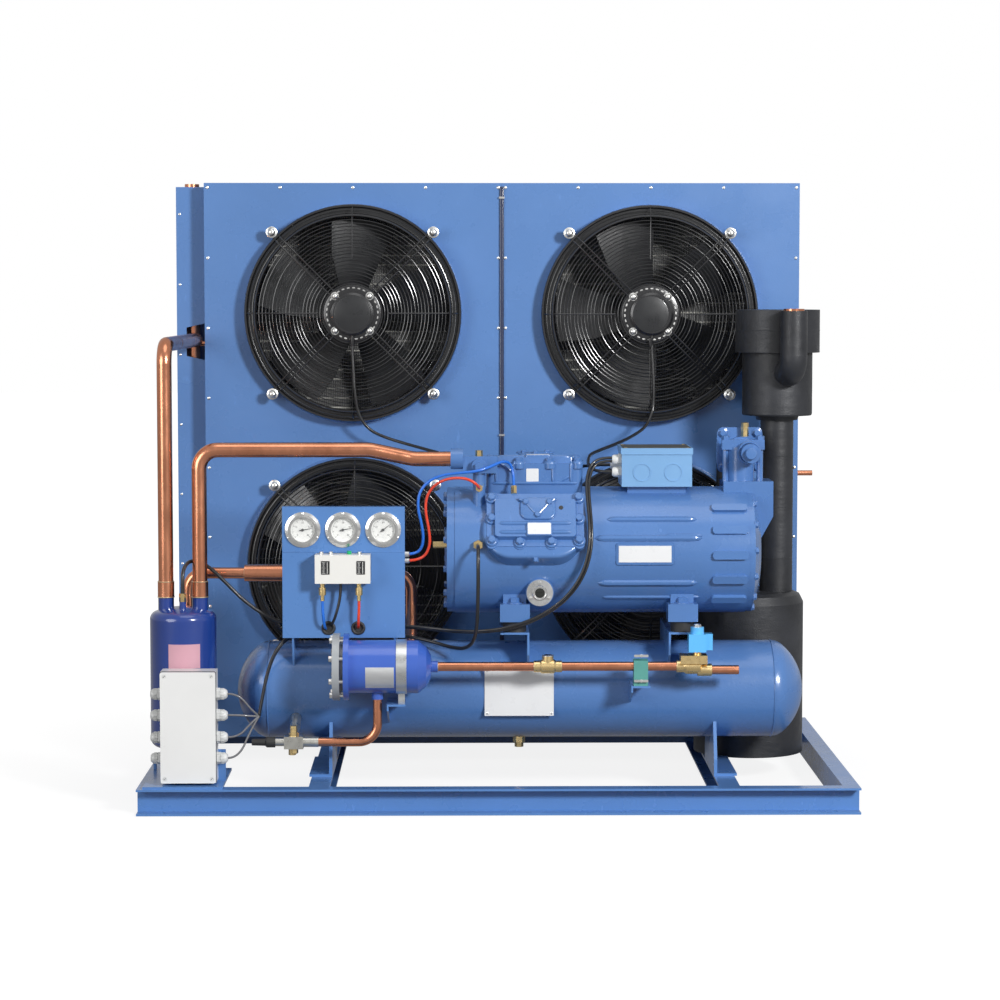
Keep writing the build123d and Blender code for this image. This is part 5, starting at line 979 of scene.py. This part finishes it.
class CompressorOperator(bpy.types.Operator):
    """Cast ribs, cover and head bolts, nuts on the feet, blank plates and the sight glass's face."""

    bl_idname = "unit.compressor"
    bl_label = "Compressor details"

    def execute(self, context):
        casts, bolts, recess_shades, badges = self.barrel_ribs(), self.cover_bolts(), [], []
        for angle, face in ((60, 0.184), (0, 0.230), (-60, 0.184)):
            self.head(angle, face, casts, bolts, recess_shades, badges)
        foot_top = 0.486
        for x in (0.04, 0.446):
            for y in (-0.365, -0.125):
                bolts += hex_bolt((x, y, foot_top), UP, 0.014, 0.012, 0.019)
        wall = -0.3150  # front of the top head
        for x in (-0.004, 0.040, 0.134, 0.178):
            casts.append(rib([(x, wall, z) for z in np.linspace(0.772, 0.828, 14)], 0.0042))
        for start, end in (((0.000, 0.826), (0.036, 0.800)), ((0.174, 0.790), (0.140, 0.772))):
            casts.append(rib([(x, wall, z) for x, z in np.linspace(start, end, 14)], 0.0036))
        casts.append(rib([(x, wall, 0.7735) for x in np.linspace(-0.016, 0.194, 24)], 0.0046))
        badges.append(pad((0.084, wall - 0.0002, 0.792), 0.030, 0.034, 0.0009, 0.002, sides=3))
        build("cast_details", casts, "casting_paint", smooth=40)
        build("cast_bolts", bolts, "casting_paint")
        # Dark discs on the heads: painted shade of small recesses.
        build("recess_shade_discs", recess_shades, "dull_plate", "casting_paint")
        build("head_badges", badges, "pale_plate", "plate_metal")
        self.sight_glass()
        frame_bead = bead((0.3535, -0.3995, 0.608), 0.137, 0.050, 0.005, 0.0028, 6)
        build("plate_frame", [frame_bead], "casting_paint")
        screws = [rivet((x, -0.3660, z), 0.0032) for x in (-0.027, 0.129) for z in (0.216, 0.321)]
        build("plate_rivets", screws, "steel")
        return {"FINISHED"}

    def barrel_ribs(self):
        """Ribs cast along the barrel's front, laid at the depth that it has at their height."""
        ribs = []
        for height, start, end, thick in (
            (0.689, 0.262, 0.480, 0.0075), (0.6455, 0.232, 0.492, 0.0085), (0.537, 0.240, 0.482, 0.0080),
            (0.500, 0.252, 0.490, 0.0050),
        ):
            y = SHAFT_Y - np.sqrt((BARREL - SINK) ** 2 - (height - SHAFT_Z) ** 2)
            ribs.append(rib([(x, y, height) for x in np.linspace(start, end, 28)], thick))
        y = SHAFT_Y - np.sqrt(BARREL**2 - (0.6455 - SHAFT_Z) ** 2)
        return ribs + [rib([(x, y, 0.652) for x in np.linspace(0.40, 0.492, 14)], 0.005)]

    def cover_bolts(self):
        """Bolts round the bearing cover and the motor's end cover."""
        bolts = []
        for x, radius, turns, out in (
            (0.621, 0.144, np.radians(202 + 25.7 * np.arange(14)), RIGHT),
            (-0.124, 0.136, TAU * np.arange(12) / 12 + 0.26, LEFT),
        ):
            for spot in around((x, SHAFT_Y, SHAFT_Z), radius, turns, 0):
                bolts += hex_bolt(spot, out, 0.0085, 0.007, 0.0105)
        return bolts

    def head(self, angle, face, casts, bolts, recess_shades, badges):
        """Adds one cylinder head's pieces to the lists, placed by (u, v) on its sloping face."""
        a = radians(angle)
        out = np.array((0, -sin(a), cos(a)))
        up = np.array((0, cos(a), sin(a)))
        top = np.array((0.089, SHAFT_Y, SHAFT_Z)) + out * face

        def spot(u, v, lift=0.0):
            return top + np.array(RIGHT) * u + up * v + out * lift

        edge = -0.014  # flange round the head, below its face
        boss = [(-SINK, 0.0155), (0.0035, 0.0150), (0.005, 0.0135)]
        for wide, v in ((0.105, 0.058), (0.105, 0.002), (0.105, -0.056), (0.038, -0.060)):
            for u in (-wide, wide):
                casts.append(turned(spot(u, v, edge), out, boss, 20))
                bolts += hex_bolt(spot(u, v, edge + 0.004), out, 0.0098, 0.0085, 0.0118)
        for v in (-0.0152, -0.0388):
            casts.append(rib([spot(u, v, -0.0015) for u in np.linspace(-0.090, 0.090, 24)], 0.0058))
        casts.append(pad(spot(0.006, 0.022, -0.002), 0.086, 0.058, 0.0085, 0.020, 0.004, 6, out=out))
        u = (-0.043, -0.023, -0.008, 0.005, 0.018, 0.034, 0.052)
        v = (0.049, 0.038, 0.018, 0.003, 0.018, 0.038, 0.049)
        reach = np.linspace(0, 6, 37)
        ridge = np.column_stack([np.interp(reach, np.arange(7), line) for line in (u, v)])
        casts.append(rib([spot(u, v, 0.0062) for u, v in ridge], 0.0036))
        for u, v in ((-0.023, 0.038), (0.034, 0.038), (0.005, 0.004)):
            bolts += hex_bolt(spot(u, v, 0.006), out, 0.0075, 0.0072)
        # Dark disc: painted shade of a small recess in the head.
        recess_shades.append(turned(spot(0.062, 0.026), out, [(-SINK, 0.0055), (0.0006, 0.0055)], 16))
        casts.append(pad(spot(0.009, -0.032, -0.002), 0.062, 0.036, 0.0078, 0.004, 0.0015, 4, out=out))
        badges.append(pad(spot(0.009, -0.032, 0.0054), 0.056, 0.030, 0.0010, 0.0025, sides=3, out=out))
        if angle:  # the rounded skirt below a sloping head, and its plug
            casts.append(pad(spot(-0.005, -0.022, -0.067), 0.246, 0.152, 0.051, 0.072, 0.008, 12, out=out))
            plug = [(0, 0.0075), (0.013, 0.0075), (0.015, 0.0055)]
            casts.append(turned(spot(0.0, -0.092, -0.026), -up, plug, 6))
        for u, radius in ((-0.105, 0.013), (-0.038, 0.015), (0.038, 0.015), (0.105, 0.013)):
            lug = [(-0.002, radius), (0.0095, radius), (0.0105, radius - 0.001)]
            casts.append(turned(spot(u, -0.0635, edge - 0.010), out, lug, 22))

    def sight_glass(self):
        """Dark glass, bright ring and screws of the oil sight glass."""
        x, z = place("oil_sight_glass")[2][0], 0.514
        spot = (x, -0.4015, z)
        ring = [(-0.002, 0.0185), (0.002, 0.0185), (0.0032, 0.0170), (0.0032, 0.0148), (0.0016, 0.0140)]
        build("sight_glass_ring", [turned(spot, FRONT, ring, 36)], "gauge_steel", "steel")
        places = around((x, -0.4010, z), 0.0245, THIRDS)
        screws = [button(at, FRONT, 0.0038, 0.0016, 0.0026, 0.0024) for at in places]
        build("sight_glass_screws", screws, "steel")
        lens = button(spot, FRONT, 0.0139, 0.0012, 0.0022, 0.009, 28)
        build("sight_glass_lens", [lens], "dark_glass", "glass")


class ValvesOperator(bpy.types.Operator):
    """Spindle caps, gland rings and flange bolts of the service valves, and the terminal box's screws."""

    bl_idname = "unit.valves"
    bl_label = "Valves and terminal box"

    def execute(self, context):
        x, z = 0.614, 0.846
        cap = [(0, 0.0145), (0.004, 0.0145), (0.0065, 0.0125), (0.0068, 0.010)]
        parts, washers = [turned((x, -0.341, z), FRONT, cap, 28)], []
        parts += [hoop((x, -0.302 + 0.012 * k, z), REAR, 0.0262, 0.0024, 40) for k in range(3)]
        for x in (0.557, 0.641):
            for z in (0.806, 0.890):
                parts += hex_bolt((x, -0.209, z), FRONT, 0.0085, 0.008, 0.0115)
                washers.append(hoop((x, -0.2085, z), REAR, 0.0128, 0.0012, 24, 5))
        build("valve_details", parts + washers, "casting_paint")
        low, high, middle = place("terminal_box")
        screws = [
            button((x, y, high[2]), UP, 0.0045, 0.001, 0.0018, 0.003, 14)
            for x in (low[0] + 0.012, high[0] - 0.012)
            for y in (low[1] + 0.014, high[1] - 0.014)
        ]
        build("terminal_screws", screws, "brass")
        lid = pad((middle[0], middle[1], high[2] - 0.0006), 0.165, 0.154, 0.0012, 0.004, sides=3, out=UP)
        build("terminal_lid", [lid], "lid_grey", "grey_paint")
        rims = [hoop((x, low[1] + 0.0025, 0.800), REAR, 0.0212, 0.0012, 40) for x in (0.350, 0.426)]
        seam = (middle[0], low[1] + 0.0005, high[2] - 0.0145)
        rims.append(pad(seam, high[0] - low[0] - 0.002, 0.0022, 0.0012, 0.0004, sides=2))
        build("terminal_rims", rims, "light_blue_plastic")
        return {"FINISHED"}


class GaugesOperator(bpy.types.Operator):
    """Gauge dials with ticks and figures, flange screws, switch windows, grommets and ferrules."""

    bl_idname = "unit.gauges"
    bl_label = "Gauges and switch"

    def execute(self, context):
        marks, faces, screws = [], [], []
        y, rim = -0.3767, 0.0262
        for x in GAUGES:
            faces.append(turned((x, -0.3758, DIAL_Z), FRONT, [(-0.0004, 0.0286), (0.0010, 0.0286)], 48))
            for k in range(41):
                a = radians(225 - 6.75 * k)
                long, thick = (0.0022, 0.0005) if k % 5 else (0.0042, 0.0010)
                spot = (x + (rim - long / 2) * cos(a), y, DIAL_Z + (rim - long / 2) * sin(a))
                marks.append(pad(spot, long, thick, 0.0002, 0.0001, sides=2, across=(cos(a), 0, sin(a))))
            for spot in around((x, -0.373, DIAL_Z), 0.0392, THIRDS):
                screws.append(button(spot, FRONT, 0.0034, 0.0012, 0.0020, 0.0022, 14))
            pivot = [(0, 0.0022), (0.0030, 0.0022), (0.0034, 0.0012)]
            marks.append(turned((x, y - 0.0001, DIAL_Z), FRONT, pivot, 16))
            for k in range(5):
                self.figure(x, y - 0.0002, k)
        build("dial_faces", faces, "dial_face", "gauge_steel")
        build("dial_marks", marks, "ink", "needle_paint")
        build("gauge_screws", screws, "steel")
        self.switch()
        return {"FINISHED"}

    def figure(self, x, y, k):
        """One figure of a dial's scale: text made into a flat mesh, then placed."""
        text = bpy.data.curves.new(f"figure_{k}", "FONT")
        text.body = str(k * 10)
        text.size = 0.0062
        text.align_x = "CENTER"
        text.align_y = "CENTER"
        text.extrude = 0.00008
        holder = bpy.data.objects.new(f"figure_{k}", text)
        bpy.context.scene.collection.objects.link(holder)
        bpy.context.view_layer.update()
        mesh = bpy.data.meshes.new_from_object(holder)
        bpy.data.objects.remove(holder)
        flat = np.empty(len(mesh.vertices) * 3)
        mesh.vertices.foreach_get("co", flat)
        right, height, rise = flat.reshape(-1, 3).T
        a = radians(225 - 67.5 * k)
        put = (right + x + 0.0178 * cos(a), y - rise, height + DIAL_Z + 0.0178 * sin(a))
        mesh.vertices.foreach_set("co", np.column_stack(put).ravel())
        add_piece(f"dial_figure_{int(abs(x) * 1000)}_{k}", mesh, "ink", "needle_paint")

    def switch(self):
        """Scales behind the switch's windows, its seam, grommets and hose ferrules."""
        ink, cards, rubber = [], [], []
        for x in (-0.416, -0.331):
            cards.append(pad((x, -0.4184, 0.577), 0.0205, 0.0325, 0.0006, 0.0015, sides=3))
            for k in range(11):
                wide = 0.005 if k % 5 else 0.009
                tick = (x - 0.004, -0.419, 0.564 + 0.0026 * k)
                ink.append(pad(tick, wide, 0.0006, 0.0002, 0.0001, sides=2))
            ink.append(pad((x + 0.005, -0.419, 0.577), 0.0012, 0.028, 0.0003, 0.0002, sides=2))
        build("switch_cards", cards, "ink", "needle_paint")
        build("switch_marks", ink, "dial_face", "switch_plastic")
        seam = bead((-0.3745, -0.3735, 0.5735), 0.1335, 0.0695, 0.004, 0.0006)
        build("switch_seam", [seam], "ink", "needle_paint")
        fold = pad((-0.374, -0.3698, 0.6115), 0.294, 0.0030, 0.0011, 0.0010, 0.0009, 3)
        build("panel_fold", [fold], "frame_paint")
        grommet_z = 0.426
        for x in (-0.411, -0.339):
            rubber.append(hoop((x, -0.3705, grommet_z), REAR, 0.0135, 0.0038, 32, 8))
            rubber.append(turned((x, -0.368, grommet_z), FRONT, [(-0.002, 0.0128), (0.0012, 0.0128)], 24))
        build("grommets", rubber, "rubber")
        ferrule = [(0, 0.0068), (0.012, 0.0068), (0.014, 0.0045)]
        ferrules = [turned((-0.228, -0.352, z), RIGHT, ferrule, 14) for z in (0.604, 0.588)]
        build("panel_ferrules", ferrules, "steel")


class JunctionOperator(bpy.types.Operator):
    """Lid seam and screws of the junction box, ribbed gland nuts and the bare sticker."""

    bl_idname = "unit.junction"
    bl_label = "Junction box"

    def execute(self, context):
        low, high, middle = place("junction_box_lid")
        screws, slots, nuts = [], [], []
        for x in (low[0] + 0.010, high[0] - 0.010):
            for z in (low[2] + 0.010, high[2] - 0.010):
                screws.append(button((x, low[1] + 0.0022, z), FRONT, 0.0042, 0.0012, 0.0018, 0.0035))
                # Thin dark strokes on the screw heads: painted shade of their slots.
                slot = (x, low[1] + 0.0005, z)
                slots.append(pad(slot, 0.006, 0.0011, 0.0003, 0.0003, sides=2, across=(0.7, 0, 0.7)))
        build("lid_screws", screws, "gland_plastic")
        build("lid_screw_slot_shades", slots, "ink", "needle_paint")
        width, _, height = high - low + 0.0008
        seal = bead((middle[0], high[1], middle[2]), width, height, 0.005, 0.0008)
        build("lid_seal", [seal], "rubber")
        for wall, way in ((-0.803, -1), (-0.672, 1)):
            for z in (0.284, 0.233, 0.180, 0.130):
                nuts += self.ribbed_nut(wall, way, z)
        for y, z in ((-0.300, 0.830), (-0.300, 0.800), (-0.215, 0.812)):
            spot = (0.301, y, z)
            nuts.append(turned(spot, LEFT, [(0, 0.0145), (0.007, 0.0145), (0.008, 0.0135)], 6, 0.5))
            nuts.append(turned(spot, LEFT, [(0.0082, 0.0122), (0.018, 0.0122), (0.0225, 0.0095)], 20))
        build("gland_nuts", nuts, "gland_plastic", replaced=["cable_glands"])
        radius, width = 0.0803, 0.078
        middle, half = np.arcsin(0.010 / radius), 0.5 * width / radius
        sticker = curved_label(
            (-0.762, -0.370, 0), RIGHT, UP, (middle - half, middle + half), 0.0806, 0.0797, (0.338, 0.396)
        )
        build("bare_sticker", [sticker], "sticker", "vessel_paint")
        return {"FINISHED"}

    def ribbed_nut(self, wall, way, z):
        """Hexagon and ribbed dome of one gland, standing out from a side wall."""
        y, out = -0.495, (way, 0, 0)
        cap = [(0.0095, 0.0128), (0.0185, 0.0128), (0.0225, 0.0112), (0.0254, 0.0085), (0.0262, 0.0070)]
        parts = [
            turned((wall, y, z), out, [(0, 0.0146), (0.008, 0.0146), (0.009, 0.0136)], 6, 0.5),
            turned((wall, y, z), out, cap, 24),
        ]
        turns = TAU * np.arange(12) / 12
        for a, spot in zip(turns, around((wall + way * 0.014, y, z), 0.0128, turns, 0)):
            parts.append(pad(spot, 0.0088, 0.0016, 0.0009, 0.0006, 0.0004, 2, out=(0, cos(a), sin(a))))
        return parts


class PipesOperator(bpy.types.Operator):
    """Braze rings, sockets, sleeves, foam seams and the liquid line's fittings."""

    bl_idname = "unit.pipes"
    bl_label = "Pipe details"

    def execute(self, context):
        braze, sockets = [], []
        collar = [(0, 0.0232), (0.006, 0.0232), (0.009, 0.0215)]
        y = -0.370  # the separator's pipes
        for x in (-0.803, -0.721):
            braze.append(hoop((x, y, 0.5025), UP, 0.0197, 0.0014, 32))
            braze.append(hoop((x, y, 0.5400), UP, 0.0192, 0.0013, 32))
            sockets.append(turned((x, y, 0.450), UP, collar, 32))
        braze += [hoop((x, LINE_Y, LINE_Z), RIGHT, 0.0125, 0.0012, 28) for x in (0.085, 0.151, 0.428, -0.146)]
        braze += [hoop((x, -0.200, 0.543), RIGHT, 0.0160, 0.0012, 28) for x in (-0.530, -0.476, -0.626)]
        foam = [hoop((0.716, 0.018, z), UP, 0.1062, 0.0014, 72) for z in (1.085, 1.140)]
        foam += [hoop((0.716, 0.018, z), UP, 0.0416, 0.0010, 48) for z in (0.560, 0.690, 0.820)]
        gland = [(0.009, 0.0085), (0.017, 0.0085), (0.019, 0.0065)]
        valve_x, valve_top, valve_foot = -0.492, 0.1735, 0.143
        nuts = [
            *hex_bolt((valve_x, LINE_Y, valve_top), UP, 0.0125, 0.010),
            turned((valve_x, LINE_Y, valve_top), UP, gland, 18),
            *hex_bolt((valve_x, LINE_Y, valve_foot), DOWN, 0.0105, 0.012),
        ]
        build("valve_nuts", nuts, "brass")
        bend = (radians(-6), radians(44))
        label = curved_label((0, LINE_Y, LINE_Z), DOWN, RIGHT, bend, 0.0643, 0.0636, (-0.318, -0.250))
        build("bare_drier_label", [label], "plate_metal")
        build("braze_rings", braze, "braze", "copper")
        welds = [hoop((x, -0.245, 0.260), RIGHT, 0.1188, 0.0022, 96) for x in (-0.562, 0.674)]
        build("receiver_welds", welds, "casting_paint")
        bands = []
        for z in (0.3695, 0.3090):
            bands.append(pad((0.341, -0.4665, z), 0.034, 0.006, 0.0012, 0.001, sides=2))
            bands += hex_bolt((0.341, -0.4672, z), FRONT, 0.0042, 0.003)
        build("clamp_bands", bands, "steel")
        build("separator_sockets", sockets, "vessel_paint")
        build("foam_seams", foam, "foam")
        ring = [(0, 0.0148), (0.0012, 0.0148), (0.0022, 0.0130)]
        caps = hex_bolt((0.477, LINE_Y, 0.4355), UP, 0.0095, 0.0055, 0.0115)
        caps.append(turned((0.118, LINE_Y, 0.3665), UP, ring, 24))
        build("line_caps", caps, "steel")
        glass = turned((0.118, LINE_Y, 0.3684), UP, [(0, 0.0095), (0.0006, 0.0095)], 24)
        build("line_sight_glass", [glass], "dark_glass", "glass")
        return {"FINISHED"}


# ------------------------------------------------------------------ add-on

OPERATORS = (
    StageOperator, CordsOperator, PaintOperator, GuardsOperator, PanelsOperator, CompressorOperator,
    ValvesOperator, GaugesOperator, JunctionOperator, PipesOperator,
)


class UnitPanel(bpy.types.Panel):
    """Lists the settings and the steps."""

    bl_idname = "UNIT_PT_panel"
    bl_label = "Condensing unit"
    bl_space_type = "VIEW_3D"
    bl_region_type = "UI"
    bl_category = "Unit"

    def draw(self, context):
        for settings in (context.scene.unit_sizes, context.scene.unit_colours):
            for name in settings.__annotations__:
                self.layout.prop(settings, name)
        for operator in OPERATORS:
            self.layout.operator(operator.bl_idname)


CLASSES = (UnitColours, UnitSizes, *OPERATORS, UnitPanel)


def register():
    """Registers the classes and their settings."""
    for cls in CLASSES:
        bpy.utils.register_class(cls)
    bpy.types.Scene.unit_colours = bpy.props.PointerProperty(type=UnitColours)
    bpy.types.Scene.unit_sizes = bpy.props.PointerProperty(type=UnitSizes)


def unregister():
    """Removes the settings and the classes."""
    del bpy.types.Scene.unit_sizes
    del bpy.types.Scene.unit_colours
    for cls in reversed(CLASSES):
        bpy.utils.unregister_class(cls)


def main():
    """Registers the add-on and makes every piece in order."""
    register()
    bpy.ops.unit.stage()
    bpy.ops.unit.cords()
    bpy.ops.unit.paint()
    bpy.ops.unit.guards()
    bpy.ops.unit.panels()
    bpy.ops.unit.compressor()
    bpy.ops.unit.valves()
    bpy.ops.unit.gauges()
    bpy.ops.unit.junction()
    bpy.ops.unit.pipes()


if __name__ == "__main__":
    main()
